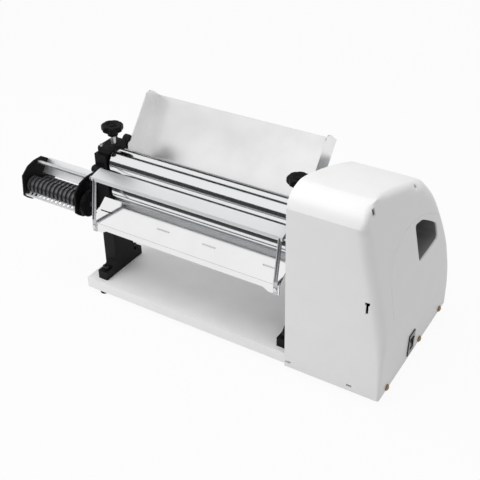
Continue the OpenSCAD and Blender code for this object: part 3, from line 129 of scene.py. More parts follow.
NODE_FINISHES = {
    "base_pan": "pan_coat", "rubber_feet": "foot_rubber", "left_stand": "black_casting",
    # the stand bolts' dark finish is partly painted shade of counterbores that are not modelled
    "right_stand": "black_casting", "stand_bolts": "black_bolt_and_sunk_shade", "tie_bars": "bar_steel",
    "bridges": "black_casting", "bridge_screws": "bolt_zinc", "lower_bushes": "bush_bronze",
    "lower_scraper": "bar_steel", "hinge_pins": "bar_steel", "dock_pins": "bar_steel",
    "drive_plate": "plate_paint", "housing_cover": "cover_white", "cover_screws": "screw_brass",
    "side_grip": "grip_grey", "switch_frame": "switch_black", "cable_gland": "switch_black",
    "motor_bracket": "plate_paint", "gearbox": "gearbox_iron", "motor_body": "motor_paint",
    "motor_end_cap": "motor_paint", "capacitor": "motor_paint", "terminal_block": "terminal_nylon",
    "bearing_blocks": "black_casting", "upper_bushes": "bush_bronze", "gap_springs": "spring_wire",
    "upper_roller": "roller_chrome", "upper_gear": "gear_steel", "lower_roller": "roller_chrome",
    "lower_gear": "gear_steel", "drive_gear": "gear_steel", "transfer_gear": "gear_black",
    "pinion": "gear_steel", "left_spindle": "bar_steel", "left_knob": "knob_black",
    "right_spindle": "bar_steel", "right_knob": "knob_black", "guard_plate": "sheet_steel",
    "guard_rods": "spring_wire", "chute": "chute_steel", "chute_screws": "bolt_zinc",
    "hopper": "hopper_steel", "hopper_studs": "bar_steel", "rocker": "switch_black",
    "cutter_plate_left": "black_casting", "cutter_plate_right": "black_casting",
    "cutter_tie_rods": "bar_steel", "front_comb": "sheet_steel", "rear_comb": "sheet_steel",
    "feed_plate": "sheet_steel", "front_cutter": "ring_steel", "front_cutter_gears": "gear_black",
    "rear_cutter": "ring_steel", "rear_cutter_gear": "gear_black",
}

# the rounding of the edges of the pieces that EdgeSizes doesn't cover, in mm
EDGE_WIDTHS = {
    "side_grip": 0.6, "cover_screws": 0.8, "cable_gland": 0.6, "cutter_plate_left": 0.6,
    "cutter_plate_right": 0.6, "base_pan": 1.6, "upper_roller": 0.35, "lower_roller": 0.35,
    "front_cutter": 0.35, "rear_cutter": 0.35, "left_knob": 0.9, "right_knob": 0.9,
    "rubber_feet": 0.8, "stand_bolts": 0.5, "bridge_screws": 0.4, "tie_bars": 0.5, "guard_rods": 0.5,
    "chute_screws": 0.4, "hopper_studs": 0.5, "hinge_pins": 0.4, "dock_pins": 0.5,
    "cutter_tie_rods": 0.6, "switch_frame": 0.7, "rocker": 0.5, "lower_scraper": 0.3,
    "left_spindle": 0.3, "right_spindle": 0.3,
}

NODE_SLOTS = {s["node"]: s["material_slot"] for s in frame["record"]["subparts"]}
BODY_OF_NODE = {n: b for b, ns in frame["record"]["behaviour"]["bodies"].items() for n in ns}


def finish_material(name):
    """The node material of one finish: mottled colour, uneven gloss and a fine grain bump."""
    if name in bpy.data.materials:
        return bpy.data.materials[name]
    f = FINISHES[name]
    material = bpy.data.materials.new(name)
    material.use_nodes = True
    nodes, links = material.node_tree.nodes, material.node_tree.links
    shader = nodes["Principled BSDF"]
    shader.inputs["Metallic"].default_value = f.get("metal", 0.0)
    shader.inputs["IOR"].default_value = f.get("ior", 1.46)
    coords = nodes.new("ShaderNodeTexCoord")

    spots = nodes.new("ShaderNodeTexNoise")
    spots.inputs["Scale"].default_value = 1 / (f["spot"] * MM)
    spots.inputs["Detail"].default_value = 4.0
    links.new(coords.outputs["Object"], spots.inputs["Vector"])
    tint = nodes.new("ShaderNodeValToRGB")
    dark = 1 - f["mottle"]
    light = 1 + f["mottle"]
    tint.color_ramp.elements[0].position = TINT_LOW
    tint.color_ramp.elements[1].position = TINT_HIGH
    tint.color_ramp.elements[0].color = (*[c * dark for c in f["color"]], 1)
    tint.color_ramp.elements[1].color = (*[min(1.0, c * light) for c in f["color"]], 1)
    links.new(spots.outputs["Fac"], tint.inputs["Fac"])
    links.new(tint.outputs["Color"], shader.inputs["Base Color"])

    gloss = nodes.new("ShaderNodeMapRange")
    gloss.inputs["To Min"].default_value = f["rough"] * (1 - GLOSS_SPREAD)
    gloss.inputs["To Max"].default_value = f["rough"] * (1 + GLOSS_SPREAD)
    links.new(spots.outputs["Fac"], gloss.inputs["Value"])
    links.new(gloss.outputs["Result"], shader.inputs["Roughness"])

    stretch = nodes.new("ShaderNodeMapping")
    stretch.inputs["Scale"].default_value = f.get("stretch", (1, 1, 1))
    links.new(coords.outputs["Object"], stretch.inputs["Vector"])
    grain = nodes.new("ShaderNodeTexNoise")
    grain.inputs["Scale"].default_value = 1 / (f["grain"] * MM)
    grain.inputs["Detail"].default_value = 2.0
    links.new(stretch.outputs["Vector"], grain.inputs["Vector"])
    bump = nodes.new("ShaderNodeBump")
    bump.inputs["Strength"].default_value = 1.0
    bump.inputs["Distance"].default_value = f["depth"] * MM
    links.new(grain.outputs["Fac"], bump.inputs["Height"])
    links.new(bump.outputs["Normal"], shader.inputs["Normal"])
    return material


# ------------------------------------------------------------------ modelling helpers
# points closer than WELD metres are one point, faces within FLAT are one face
WELD, FLAT = 2e-6, math.radians(0.4)


def clear_selection():
    """Deselects everything and leaves edit mode."""
    if bpy.context.object and bpy.context.object.mode != "OBJECT":
        bpy.ops.object.mode_set(mode="OBJECT")
    bpy.ops.object.select_all(action="DESELECT")


def pick(piece):
    """Makes one piece the selected and active object."""
    clear_selection()
    piece.select_set(True)
    bpy.context.view_layer.objects.active = piece
    return piece


def apply_modifier(piece, kind, **settings):
    """Adds a modifier to the piece, sets it and applies it."""
    pick(piece)
    bpy.ops.object.modifier_add(type=kind)
    modifier = piece.modifiers[-1]
    for key, value in settings.items():
        setattr(modifier, key, value)
    bpy.ops.object.modifier_apply(modifier=modifier.name)


def in_place(piece):
    """Moves the piece's place, turn and size into its mesh."""
    pick(piece)
    bpy.ops.object.transform_apply(location=True, rotation=True, scale=True)
    return piece


def dress(piece, finish, body, slot, *nodes, smooth=35):
    """Gives a finished piece its material, smooth shading and body, and hides the nodes it stands for;
    the slot is not used.
    """
    piece.data.materials.clear()
    piece.data.materials.append(finish_material(finish))
    pick(piece)
    bpy.ops.object.shade_smooth_by_angle(angle=math.radians(smooth))
    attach(piece, body)
    if nodes:
        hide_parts(*nodes)
    clear_selection()
    return piece


def eased_copy(node, name, width, segments=2, corner=32):
    """A welded copy of a CAD node whose sharp edges are rounded off by a bevel."""
    mesh = frame["nodes"][node].data.copy()
    mesh.materials.clear()
    piece = bpy.data.objects.new(name, mesh)
    mesh.name = name
    bpy.context.scene.collection.objects.link(piece)
    pick(piece)
    bpy.ops.object.mode_set(mode="EDIT")
    bpy.ops.mesh.select_all(action="SELECT")
    bpy.ops.mesh.remove_doubles(threshold=WELD)
    bpy.ops.mesh.dissolve_limited(angle_limit=FLAT)
    bpy.ops.object.mode_set(mode="OBJECT")
    mesh.update()
    apply_modifier(piece, "BEVEL", width=width * MM, segments=segments, limit_method="ANGLE",
                   angle_limit=math.radians(corner), use_clamp_overlap=True, harden_normals=False)
    return piece


def eased_node(node, width=None, segments=2, corner=32):
    """Replaces one CAD node by its eased copy, dressed in its own finish."""
    piece = eased_copy(node, node + "_eased", width or EDGE_WIDTHS[node], segments, corner)
    dress(piece, NODE_FINISHES[node], BODY_OF_NODE[node], NODE_SLOTS[node], node)
    apply_modifier(piece, "WEIGHTED_NORMAL", keep_sharp=True)
    clear_selection()
    return piece


# ------------------------------------------------------------------ sizes a user would change
class StageSizes(bpy.types.PropertyGroup):
    camera_place: FloatVectorProperty(
        name="Camera place", description="Where the camera stands, in the source's datum",
        default=(0.5836, -1.0771, 1.0847), subtype="TRANSLATION", unit="LENGTH")
    azimuth: FloatProperty(
        name="Azimuth", description="Turn of the camera round the machine",
        default=math.radians(31.376), subtype="ANGLE")
    elevation: FloatProperty(
        name="Elevation", description="Height of the camera above the horizon",
        default=math.radians(33.238), subtype="ANGLE")
    roll: FloatProperty(
        name="Roll", description="Tilt of the picture", default=math.radians(-0.29), subtype="ANGLE")
    lens: FloatProperty(
        name="Lens", description="Focal length on a 36 mm sensor", default=63.04, min=20, max=200)
    key_watts: FloatProperty(
        name="Key light", description="Power of the large lamp over the machine",
        default=24.0, min=0, max=200)
    fill_watts: FloatProperty(
        name="Front light", description="Power of the large lamp at the front left",
        default=14.0, min=0, max=200)
    ambient: FloatProperty(
        name="Ambient", description="Strength of the surroundings on the machine",
        default=0.6, min=0, max=2)
    floor_radius: FloatProperty(
        name="Floor radius", description="Radius of the pale floor",
        default=9.0, min=1, max=40, unit="LENGTH")


class HousingSizes(bpy.types.PropertyGroup):
    wall: FloatProperty(
        name="Wall", description="Wall of the moulded housing",
        default=0.003, min=0.001, max=0.006, unit="LENGTH")
    edge: FloatProperty(
        name="Edge round", description="Rounding of the window's and slots' edges",
        default=0.0008, min=0.0002, max=0.002, unit="LENGTH")
    ring_steps: IntProperty(
        name="Steps", description="Rings drawn between two levels of the outline",
        default=3, min=1, max=6)


class EdgeSizes(bpy.types.PropertyGroup):
    casting: FloatProperty(
        name="Castings", description="Rounding of the castings' edges", default=0.0012,
        min=0.0002, max=0.003, unit="LENGTH")
    sheet: FloatProperty(
        name="Sheets", description="Rounding of the sheets' edges", default=0.0004,
        min=0.0001, max=0.0009, unit="LENGTH")


def sizes():
    """The scene's groups of sizes."""
    return bpy.context.scene.pasta_stage, bpy.context.scene.pasta_housing, bpy.context.scene.pasta_edges


# ------------------------------------------------------------------ stage
CLIP_NEAR, CLIP_FAR = 0.05, 60.0
FLOOR_SHADE, FLOOR_GLOW = 0.6, 0.94
CARD_SHADE = 0.06
# dark cards that only the gloss sees, as the unlit half of a studio, for painted dark reflections in the
# metal and the glossy paint: name, size, place, turn about X
CARDS = (("floor_card", (9.0, 0.7), (-1.5, -0.97, 0.004), 0.0),
         ("front_card", (9.0, 0.62), (-1.5, -1.32, 0.314), math.pi / 2),
         ("roof_card", (6.0, 0.5), (-0.3, -0.14, 1.9), 0.0),
         ("back_card", (5.0, 1.1), (-1.4, 1.6, 1.35), math.pi / 2))
KEY_SIZE, KEY_PLACE = 1.6, (-0.35, -0.35, 2.1)
FRONT_SIZE, FRONT_PLACE = 1.4, (-1.3, -1.9, 1.0)
LAMP_AIM = Vector((0.0, 0.0, 0.2))


def background_material(name, shade, glow):
    """A pale material that camera and gloss rays see as white, with a faint shadow on it."""
    material = bpy.data.materials.new(name)
    material.use_nodes = True
    nodes, links = material.node_tree.nodes, material.node_tree.links
    nodes.clear()
    out = nodes.new("ShaderNodeOutputMaterial")
    rays = nodes.new("ShaderNodeLightPath")
    seen = nodes.new("ShaderNodeMath")
    seen.operation = "MAXIMUM"
    links.new(rays.outputs["Is Camera Ray"], seen.inputs[0])
    links.new(rays.outputs["Is Glossy Ray"], seen.inputs[1])
    share = nodes.new("ShaderNodeMath")
    share.operation = "MULTIPLY"
    share.inputs[1].default_value = glow
    links.new(seen.outputs[0], share.inputs[0])
    matte = nodes.new("ShaderNodeBsdfDiffuse")
    matte.inputs["Color"].default_value = (shade, shade, shade, 1)
    light = nodes.new("ShaderNodeEmission")
    light.inputs["Color"].default_value = (1, 1, 1, 1)
    light.inputs["Strength"].default_value = 1.0
    mix = nodes.new("ShaderNodeMixShader")
    links.new(share.outputs[0], mix.inputs[0])
    links.new(matte.outputs[0], mix.inputs[1])
    links.new(light.outputs[0], mix.inputs[2])
    links.new(mix.outputs[0], out.inputs["Surface"])
    return material


def card_material():
    """The dark matte of the cards that only gloss rays see, for painted dark reflections."""
    if "card_dark" in bpy.data.materials:
        return bpy.data.materials["card_dark"]
    material = bpy.data.materials.new("card_dark")
    material.use_nodes = True
    nodes, links = material.node_tree.nodes, material.node_tree.links
    nodes.clear()
    out = nodes.new("ShaderNodeOutputMaterial")
    felt = nodes.new("ShaderNodeBsdfDiffuse")
    felt.inputs["Color"].default_value = (CARD_SHADE, CARD_SHADE, CARD_SHADE, 1)
    links.new(felt.outputs[0], out.inputs["Surface"])
    return material


class PASTA_OT_stage(bpy.types.Operator):
    """Set up the camera, the pale floor, the lamps and the surroundings"""
    bl_idname = "pasta.stage"
    bl_label = "Stage"

    def execute(self, context):
        stage = context.scene.pasta_stage
        scene = context.scene
        scene.view_settings.view_transform = "Standard"

        a, e, r = stage.azimuth, stage.elevation, stage.roll
        back = Vector((math.sin(a) * math.cos(e), -math.cos(a) * math.cos(e), math.sin(e)))
        level = Vector((math.cos(a), math.sin(a), 0.0))
        upright = back.cross(level)
        right = math.cos(r) * level + math.sin(r) * upright
        up = -math.sin(r) * level + math.cos(r) * upright
        camera_data = bpy.data.cameras.new("camera")
        camera = bpy.data.objects.new("camera", camera_data)
        scene.collection.objects.link(camera)
        spot = DATUM + Vector(stage.camera_place)
        turn = Matrix((right, up, back)).transposed().to_4x4()
        camera.matrix_world = Matrix.Translation(spot) @ turn
        camera_data.lens = stage.lens
        camera_data.sensor_width = SENSOR
        camera_data.clip_start = CLIP_NEAR
        camera_data.clip_end = CLIP_FAR
        scene.camera = camera

        clear_selection()
        bpy.ops.mesh.primitive_circle_add(vertices=64, radius=stage.floor_radius, fill_type="NGON")
        floor = context.object
        floor.name = "floor"
        floor.data.materials.append(background_material("floor_white", FLOOR_SHADE, FLOOR_GLOW))

        for name, size, where, turn in CARDS:
            bpy.ops.mesh.primitive_plane_add(size=1)
            card = context.object
            card.name = name
            card.scale = (size[0], size[1], 1)
            card.location = where
            card.rotation_euler = (turn, 0, 0)
            in_place(card)
            card.data.materials.append(card_material())
            card.visible_camera = False
            card.visible_diffuse = False
            card.visible_transmission = False
            card.visible_shadow = False

        world = bpy.data.worlds.new("surroundings")
        scene.world = world
        world.use_nodes = True
        nodes, links = world.node_tree.nodes, world.node_tree.links
        nodes.clear()
        out = nodes.new("ShaderNodeOutputWorld")
        sky = nodes.new("ShaderNodeBackground")
        rays = nodes.new("ShaderNodeLightPath")
        seen = nodes.new("ShaderNodeMath")
        seen.operation = "MAXIMUM"
        links.new(rays.outputs["Is Camera Ray"], seen.inputs[0])
        links.new(rays.outputs["Is Glossy Ray"], seen.inputs[1])
        level_node = nodes.new("ShaderNodeMapRange")
        level_node.inputs["To Min"].default_value = stage.ambient
        level_node.inputs["To Max"].default_value = 1.0
        links.new(seen.outputs[0], level_node.inputs["Value"])
        sky.inputs["Color"].default_value = (1, 1, 1, 1)
        links.new(level_node.outputs["Result"], sky.inputs["Strength"])
        links.new(sky.outputs[0], out.inputs["Surface"])

        for name, watts, size, where in (("key_lamp", stage.key_watts, KEY_SIZE, KEY_PLACE),
                                         ("front_lamp", stage.fill_watts, FRONT_SIZE, FRONT_PLACE)):
            lamp_data = bpy.data.lights.new(name, "AREA")
            lamp_data.shape = "SQUARE"
            lamp_data.size = size
            lamp_data.energy = watts
            lamp = bpy.data.objects.new(name, lamp_data)
            scene.collection.objects.link(lamp)
            lamp.visible_glossy = False
            lamp.location = where
            lamp.rotation_euler = (LAMP_AIM - Vector(where)).to_track_quat("-Z", "Y").to_euler()
        return {"FINISHED"}


# ------------------------------------------------------------------ housing
COVER_W, COVER_H, COVER_D = 192.0, 386.5, 351.0
COVER_Y0, COVER_Z0 = -6.0, 10.5
# corner radii by height above the lower edge: crisp at the foot, soft above, tight along the ridge
FRONT_ROUNDS = [(0, 5), (50, 7), (150, 20), (345, 21), (362, 10), (400, 9)]
BACK_ROUNDS = [(0, 9), (50, 13), (130, 34), (300, 34), (345, 14), (400, 9)]
# the row of COVER_SHARES at which the front turns sharply towards the ridge
CREASE = 16
# how far the crease stops short of the right wall, in mm
CREASE_SHORT = 12
# the largest corner round, as a share of half the housing's depth at its height
ROUND_SHARE = 0.95
LEAN_SHARE, BEND_LOW, BEND_HIGH = 0.22, 100.0, 180.0
# the outline from the side: height as a share of COVER_H, front and back as shares of COVER_D
COVER_SHARES = [
    (0.000, 0.000, 1.000), (0.095, -0.003, 1.000), (0.195, -0.006, 1.000),
    (0.258, -0.009, 0.993), (0.321, -0.011, 0.984), (0.387, -0.014, 0.973),
    (0.464, -0.017, 0.957), (0.541, -0.020, 0.935), (0.594, -0.022, 0.915),
    (0.646, -0.024, 0.892), (0.697, -0.026, 0.865), (0.736, -0.028, 0.839),
    (0.775, -0.029, 0.803), (0.824, -0.031, 0.736), (0.852, -0.032, 0.660),
    (0.894, -0.033, 0.541), (0.915, -0.033, 0.475), (0.930, -0.0265, 0.421),
    (0.946, -0.0185, 0.364), (0.959, -0.0095, 0.314), (0.969, 0.001, 0.273),
    (0.978, 0.013, 0.236), (0.986, 0.032, 0.202), (0.992, 0.053, 0.171),
    (0.997, 0.077, 0.137), (1.000, 0.099, 0.113)]
SIDE_STEPS, WALL_STEPS, CORNER_STEPS = 8, 18, 8
# the moulded line that arches over the side grip, as Y and Z of the source's datum
ARCH = [(40, 165), (42, 205), (50, 243), (68, 272), (109, 289), (168, 291), (226, 278), (284, 248)]
GROOVE = 0.7
# boxes cut out of the housing, low corner and high corner; X from the datum, or from the right wall
FRONT_CUTS = (((29.7, -40, 20), (40.7, -2, 25)), ((155.1, -40, 20), (166.1, -2, 25)))
SWITCH_CUT = ((-20, 129.42, 22), (5, 153.42, 65))
MARK_CUTS = (((-40.2, -40, 219.5), (-31.2, -5, 225.5)), ((-38.2, -40, 201.5), (-33.2, -5, 219.6)))
# notches on the upper edge: X from the right wall, shares of depth and height; half their size
NOTCHES = ((-51.2, 0.062, 0.964), (-46.8, 0.58, 0.867))
NOTCH_HALF = Vector((3.5, 5, 7))
SCREW_SHARES, SCREW_Z, SCREW_SET, SCREW_R, SCREW_L = (0.103, 0.560, 0.878), 18, 1.5, 2.5, 8
GLAND_X, GLAND_Z, GLAND_R, GLAND_L = 150, 50, 8, 8
# the grip's window: place as shares of depth and height, size, corner reach, cut in and out of X
GRIP_Y, GRIP_Z, GRIP_W, GRIP_H, GRIP_REACH = 0.5, 0.508, 96.0, 76.0, 9.0
GRIP_IN, GRIP_OUT = 60, 10
GRIP_SHARES = [(0, 0), (0.5, 0), (1, 0.02), (1, 0.43), (0.7, 0.68), (0.35, 0.93), (0, 1)]


def cover_lean(rise):
    """How far the right wall has leaned in at a height above the housing's lower edge."""
    if rise < BEND_LOW:
        return 0.0
    if rise < BEND_HIGH:
        return LEAN_SHARE * (rise - BEND_LOW) ** 2 / (2 * (BEND_HIGH - BEND_LOW))
    return LEAN_SHARE * (rise - (BEND_LOW + BEND_HIGH) / 2)


def ramp(table, at):
    """The value of a table of straight runs at one place."""
    for (a, low), (b, high) in zip(table, table[1:]):
        if at <= b:
            return low + (high - low) * (at - a) / (b - a)
    return table[-1][1]


def outline_stretch(i, side):
    """How much longer the wall's slope is than its rise, at one level of the outline."""
    low = COVER_SHARES[max(i - 1, 0)]
    high = COVER_SHARES[min(i + 1, len(COVER_SHARES) - 1)]
    run = (high[side] - low[side]) * COVER_D
    rise = (high[0] - low[0]) * COVER_H
    return math.sqrt(1 + (run / rise) ** 2)


def between(values, i, t):
    """A smooth curve through a list of numbers, at t of the way from item i to the next."""
    last = len(values) - 1
    a, b, c, d = (values[min(max(i + k, 0), last)] for k in (-1, 0, 1, 2))
    if i == CREASE:
        a = 2 * b - c
    if i + 1 == CREASE:
        d = 2 * c - b
    return 0.5 * (2 * b + (c - a) * t + (2 * a - 5 * b + 4 * c - d) * t * t
                  + (3 * b - a - 3 * c + d) * t ** 3)


def cover_rings(steps):
    """The housing's outer skin as rings of points, from its lower edge to its ridge."""
    count = len(COVER_SHARES)
    columns = [[s[k] for s in COVER_SHARES] for k in range(3)]
    stretches = [[outline_stretch(i, side) for i in range(count)] for side in (1, 2)]
    rings = []
    for i in range(count):
        for k in range(steps if i < count - 1 else 1):
            t = k / steps
            share, front_share, back_share = (between(c, i, t) for c in columns)
            rise = share * COVER_H
            z = COVER_Z0 + rise
            y0 = COVER_Y0 + front_share * COVER_D
            y1 = COVER_Y0 + back_share * COVER_D
            x1 = COVER_X0 + COVER_W - cover_lean(rise)
            half = (y1 - y0) / 2
            fore, aft = ramp(FRONT_ROUNDS, rise), ramp(BACK_ROUNDS, rise)
            front = min(fore * between(stretches[0], i, t), ROUND_SHARE * half)
            back = min(aft * between(stretches[1], i, t), ROUND_SHARE * half)
            ring = []
            run = x1 - fore - COVER_X0
            ring += [(COVER_X0 + run * j / SIDE_STEPS, y0, z) for j in range(SIDE_STEPS)]
            for j in range(CORNER_STEPS):
                angle = math.pi / 2 * j / CORNER_STEPS
                ring.append((x1 - fore + fore * math.sin(angle),
                             y0 + front - front * math.cos(angle), z))
            wall = (y1 - back) - (y0 + front)
            ring += [(x1, y0 + front + wall * j / WALL_STEPS, z) for j in range(WALL_STEPS)]
            for j in range(CORNER_STEPS):
                angle = math.pi / 2 * j / CORNER_STEPS
                ring.append((x1 - aft + aft * math.cos(angle), y1 - back + back * math.sin(angle), z))
            run = x1 - aft - COVER_X0
            ring += [(COVER_X0 + run * (1 - j / SIDE_STEPS), y1, z) for j in range(SIDE_STEPS + 1)]
            rings.append(ring)
    return rings


def ring_skin(name, rings):
    """A skin drawn through rings of an odd number of points and closed at its top."""
    n = len(rings[0])
    points = [place(*p) for ring in rings for p in ring]
    faces = [(i * n + j, i * n + j + 1, (i + 1) * n + j + 1, (i + 1) * n + j)
             for i in range(len(rings) - 1) for j in range(n - 1)]
    top = (len(rings) - 1) * n
    faces += [(top + j, top + j + 1, top + n - 2 - j, top + n - 1 - j) for j in range(n // 2 - 1)]
    middle = top + n // 2
    faces.append((middle - 1, middle, middle + 1))
    mesh = bpy.data.meshes.new(name)
    mesh.from_pydata(points, [], faces)
    piece = bpy.data.objects.new(name, mesh)
    bpy.context.scene.collection.objects.link(piece)
    return piece


def box_cutter(low, high):
    """A block between two corners of the datum."""
    bpy.ops.mesh.primitive_cube_add(size=1)
    cutter = bpy.context.object
    a, b = place(*low), place(*high)
    cutter.location = (a + b) / 2
    cutter.scale = b - a
    return in_place(cutter)


def rod_cutter(centre, axis, radius, length):
    """A round rod about a point of the datum, along X or Y."""
    bpy.ops.mesh.primitive_cylinder_add(vertices=40, radius=radius * MM, depth=length * MM)
    cutter = bpy.context.object
    cutter.rotation_euler = (0, math.pi / 2, 0) if axis == "X" else (math.pi / 2, 0, 0)
    cutter.location = place(*centre)
    return in_place(cutter)


def tube_cutter(rings):
    """A closed bar drawn through rings of points."""
    n, last = len(rings[0]), len(rings) - 1
    points = [place(*p) for ring in rings for p in ring]
    faces = [tuple(range(n - 1, -1, -1)), tuple(range(last * n, (last + 1) * n))]
    faces += [(i * n + j, i * n + (j + 1) % n, (i + 1) * n + (j + 1) % n, (i + 1) * n + j)
              for i in range(last) for j in range(n)]
    mesh = bpy.data.meshes.new("bar")
    mesh.from_pydata(points, [], faces)
    cutter = bpy.data.objects.new("bar", mesh)
    bpy.context.scene.collection.objects.link(cutter)
    return cutter


def prism_cutter(outline, x0, x1):
    """A prism along X through an outline of Y and Z."""
    return tube_cutter([[(x, *p) for p in outline] for x in (x0, x1)])


def groove_cutter(path, radius, steps=6, sides=8):
    """A thin round bar that follows a path of Y and Z on the right wall."""
    ys, zs = zip(*path)
    spots = [(between(ys, i, k / steps), between(zs, i, k / steps))
             for i in range(len(path) - 1) for k in range(steps)] + [path[-1]]
    rings = []
    for i, (y, z) in enumerate(spots):
        before, after = Vector(spots[max(i - 1, 0)]), Vector(spots[min(i + 1, len(spots) - 1)])
        along = (after - before).normalized()
        x = COVER_X0 + COVER_W - cover_lean(z - COVER_Z0)
        turns = [2 * math.pi * j / sides for j in range(sides)]
        rings.append([(x + radius * math.cos(a), y + along.y * radius * math.sin(a),
                       z - along.x * radius * math.sin(a)) for a in turns])
    return tube_cutter(rings)


def eased_outline(points, reach, steps=6):
    """A closed outline with its corners rounded over a reach."""
    out = []
    n = len(points)
    for i in range(n):
        a, b, c = (Vector(points[(i + k) % n]) for k in (-1, 0, 1))
        p = b + (a - b).normalized() * reach
        q = b + (c - b).normalized() * reach
        for k in range(steps + 1):
            t = k / steps
            out.append(tuple((1 - t) ** 2 * p + 2 * t * (1 - t) * b + t * t * q))
    return out


def grip_outline():
    """The side grip's window."""
    y0 = COVER_Y0 + GRIP_Y * COVER_D
    z0 = COVER_Z0 + GRIP_Z * COVER_H
    return eased_outline([(y0 + s[0] * GRIP_W, z0 + s[1] * GRIP_H) for s in GRIP_SHARES], GRIP_REACH)


class PASTA_OT_housing(bpy.types.Operator):
    """Model the moulded drive housing with its window, slots and screw holes"""
    bl_idname = "pasta.housing"
    bl_label = "Drive housing"

    def execute(self, context):
        housing = context.scene.pasta_housing
        shell = ring_skin("drive_housing", cover_rings(housing.ring_steps))
        pick(shell)
        bpy.ops.object.mode_set(mode="EDIT")
        bpy.ops.mesh.select_all(action="SELECT")
        bpy.ops.mesh.remove_doubles(threshold=1e-5)
        bpy.ops.object.mode_set(mode="OBJECT")
        apply_modifier(shell, "SOLIDIFY", thickness=housing.wall, offset=-1.0, use_even_offset=True)

        x1 = COVER_X0 + COVER_W
        foot = Vector((x1, 0, 0))
        cutters = [prism_cutter(grip_outline(), x1 - GRIP_IN, x1 + GRIP_OUT)]
        cutters.append(box_cutter(*(foot + Vector(corner) for corner in SWITCH_CUT)))
        cutters += [box_cutter(*cut) for cut in FRONT_CUTS]
        cutters += [box_cutter(*(foot + Vector(corner) for corner in cut)) for cut in MARK_CUTS]
        for x, y_share, z_share in NOTCHES:
            centre = Vector((x1 + x, COVER_Y0 + y_share * COVER_D, COVER_Z0 + z_share * COVER_H))
            cutters.append(box_cutter(centre - NOTCH_HALF, centre + NOTCH_HALF))
        for share in SCREW_SHARES:
            centre = (x1 - SCREW_SET, COVER_Y0 + share * COVER_D, SCREW_Z)
            cutters.append(rod_cutter(centre, "X", SCREW_R, SCREW_L))
        cutters.append(rod_cutter((GLAND_X, COVER_Y0 + COVER_D - 1, GLAND_Z), "Y", GLAND_R, GLAND_L))
        clear_selection()
        for cutter in cutters:
            cutter.select_set(True)
        context.view_layer.objects.active = cutters[0]
        bpy.ops.object.join()
        knife = context.object
        apply_modifier(shell, "BOOLEAN", operation="DIFFERENCE", object=knife, solver="EXACT",
                       use_self=True)
        bpy.data.objects.remove(knife)
        apply_modifier(shell, "BEVEL", width=housing.edge, segments=2, limit_method="ANGLE",
                       angle_limit=math.radians(55), use_clamp_overlap=True)
        groove = groove_cutter(ARCH, GROOVE)
        apply_modifier(shell, "BOOLEAN", operation="DIFFERENCE", object=groove, solver="EXACT")
        bpy.data.objects.remove(groove)
        rise = COVER_SHARES[CREASE][0] * COVER_H
        height = (COVER_Z0 + rise) * MM
        reach = place(x1 - cover_lean(rise) - CREASE_SHORT, 0, 0).x
        for edge in shell.data.edges:
            ends = [shell.data.vertices[v].co for v in edge.vertices]
            edge.use_edge_sharp = all(abs(v.z - height) < 2e-4 and v.y < place(0, 0, 0).y and v.x < reach
                                      for v in ends)
        dress(shell, "cover_white", "machine", "cover", "housing_cover", smooth=40)
        eased_node("side_grip")
        eased_node("cover_screws", segments=3)
        eased_node("cable_gland")
        return {"FINISHED"}


class PASTA_OT_castings(bpy.types.Operator):
    """Round off the cast stands, bridges, bearing blocks and cutter plates"""
    bl_idname = "pasta.castings"
    bl_label = "Castings"

    def execute(self, context):
        width = context.scene.pasta_edges.casting / MM
        for node in ("left_stand", "right_stand", "bridges", "bearing_blocks"):
            eased_node(node, width, segments=3)
        for node in ("cutter_plate_left", "cutter_plate_right"):
            eased_node(node)
        return {"FINISHED"}


class PASTA_OT_sheets(bpy.types.Operator):
    """Round off the folded pan, the guard, the chute, the hopper and the cutter's sheets"""
    bl_idname = "pasta.sheets"
    bl_label = "Folded sheets"

    def execute(self, context):
        width = context.scene.pasta_edges.sheet / MM
        eased_node("base_pan", segments=3)
        for node in ("guard_plate", "chute", "hopper", "front_comb", "rear_comb", "feed_plate"):
            eased_node(node, width, corner=40)
        return {"FINISHED"}


class PASTA_OT_rollers(bpy.types.Operator):
    """Round off the two chromed rollers and the two ringed cutting rolls"""
    bl_idname = "pasta.rollers"
    bl_label = "Rollers and cutting rolls"

    def execute(self, context):
        for node in ("upper_roller", "lower_roller", "front_cutter", "rear_cutter"):
            eased_node(node)
        return {"FINISHED"}


class PASTA_OT_knobs(bpy.types.Operator):
    """Round off the star knobs on their spindles"""
    bl_idname = "pasta.knobs"
    bl_label = "Star knobs"

    def execute(self, context):
        for node in ("left_knob", "right_knob"):
            eased_node(node, segments=3, corner=28)
        return {"FINISHED"}


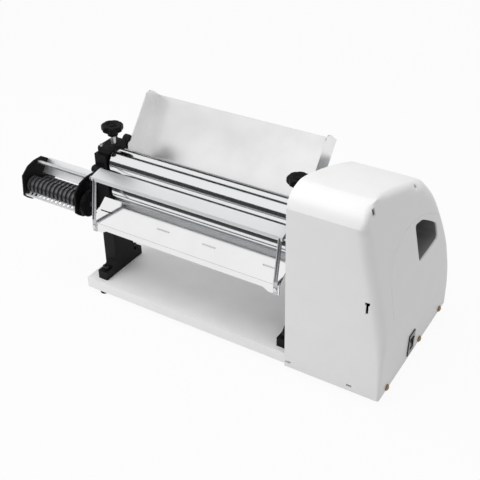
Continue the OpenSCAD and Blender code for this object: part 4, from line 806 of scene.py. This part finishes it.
class PASTA_OT_fittings(bpy.types.Operator):
    """Round off the feet, bolts, bars, pins and the switch"""
    bl_idname = "pasta.fittings"
    bl_label = "Fittings"

    def execute(self, context):
        for node in ("rubber_feet", "stand_bolts", "bridge_screws", "tie_bars", "guard_rods",
                     "chute_screws", "hopper_studs", "hinge_pins", "dock_pins", "cutter_tie_rods",
                     "switch_frame", "rocker", "lower_scraper", "left_spindle", "right_spindle"):
            eased_node(node)
        return {"FINISHED"}


class PASTA_OT_finishes(bpy.types.Operator):
    """Give every CAD node that still shows its own node material"""
    bl_idname = "pasta.finishes"
    bl_label = "Finishes"

    def execute(self, context):
        for node, finish in NODE_FINISHES.items():
            mesh = frame["nodes"][node].data
            mesh.materials.clear()
            mesh.materials.append(finish_material(finish))
        return {"FINISHED"}


class PASTA_PT_panel(bpy.types.Panel):
    """The machine's groups of pieces, in the 3D view's sidebar"""
    bl_label = "Pasta maker"
    bl_idname = "PASTA_PT_panel"
    bl_space_type = "VIEW_3D"
    bl_region_type = "UI"
    bl_category = "Pasta maker"

    def draw(self, context):
        for name in ("stage", "housing", "castings", "sheets", "rollers", "knobs", "fittings",
                     "finishes"):
            self.layout.operator("pasta." + name)


CLASSES = (StageSizes, HousingSizes, EdgeSizes, PASTA_OT_stage, PASTA_OT_housing, PASTA_OT_castings,
           PASTA_OT_sheets, PASTA_OT_rollers, PASTA_OT_knobs, PASTA_OT_fittings, PASTA_OT_finishes,
           PASTA_PT_panel)


def register():
    for c in CLASSES:
        bpy.utils.register_class(c)
    bpy.types.Scene.pasta_stage = PointerProperty(type=StageSizes)
    bpy.types.Scene.pasta_housing = PointerProperty(type=HousingSizes)
    bpy.types.Scene.pasta_edges = PointerProperty(type=EdgeSizes)


def unregister():
    del bpy.types.Scene.pasta_stage
    del bpy.types.Scene.pasta_housing
    del bpy.types.Scene.pasta_edges
    for c in reversed(CLASSES):
        bpy.utils.unregister_class(c)


def main():
    register()
    clear_selection()
    bpy.ops.pasta.stage()
    bpy.ops.pasta.housing()
    bpy.ops.pasta.castings()
    bpy.ops.pasta.sheets()
    bpy.ops.pasta.rollers()
    bpy.ops.pasta.knobs()
    bpy.ops.pasta.fittings()
    bpy.ops.pasta.finishes()


if __name__ == "__main__":
    main()
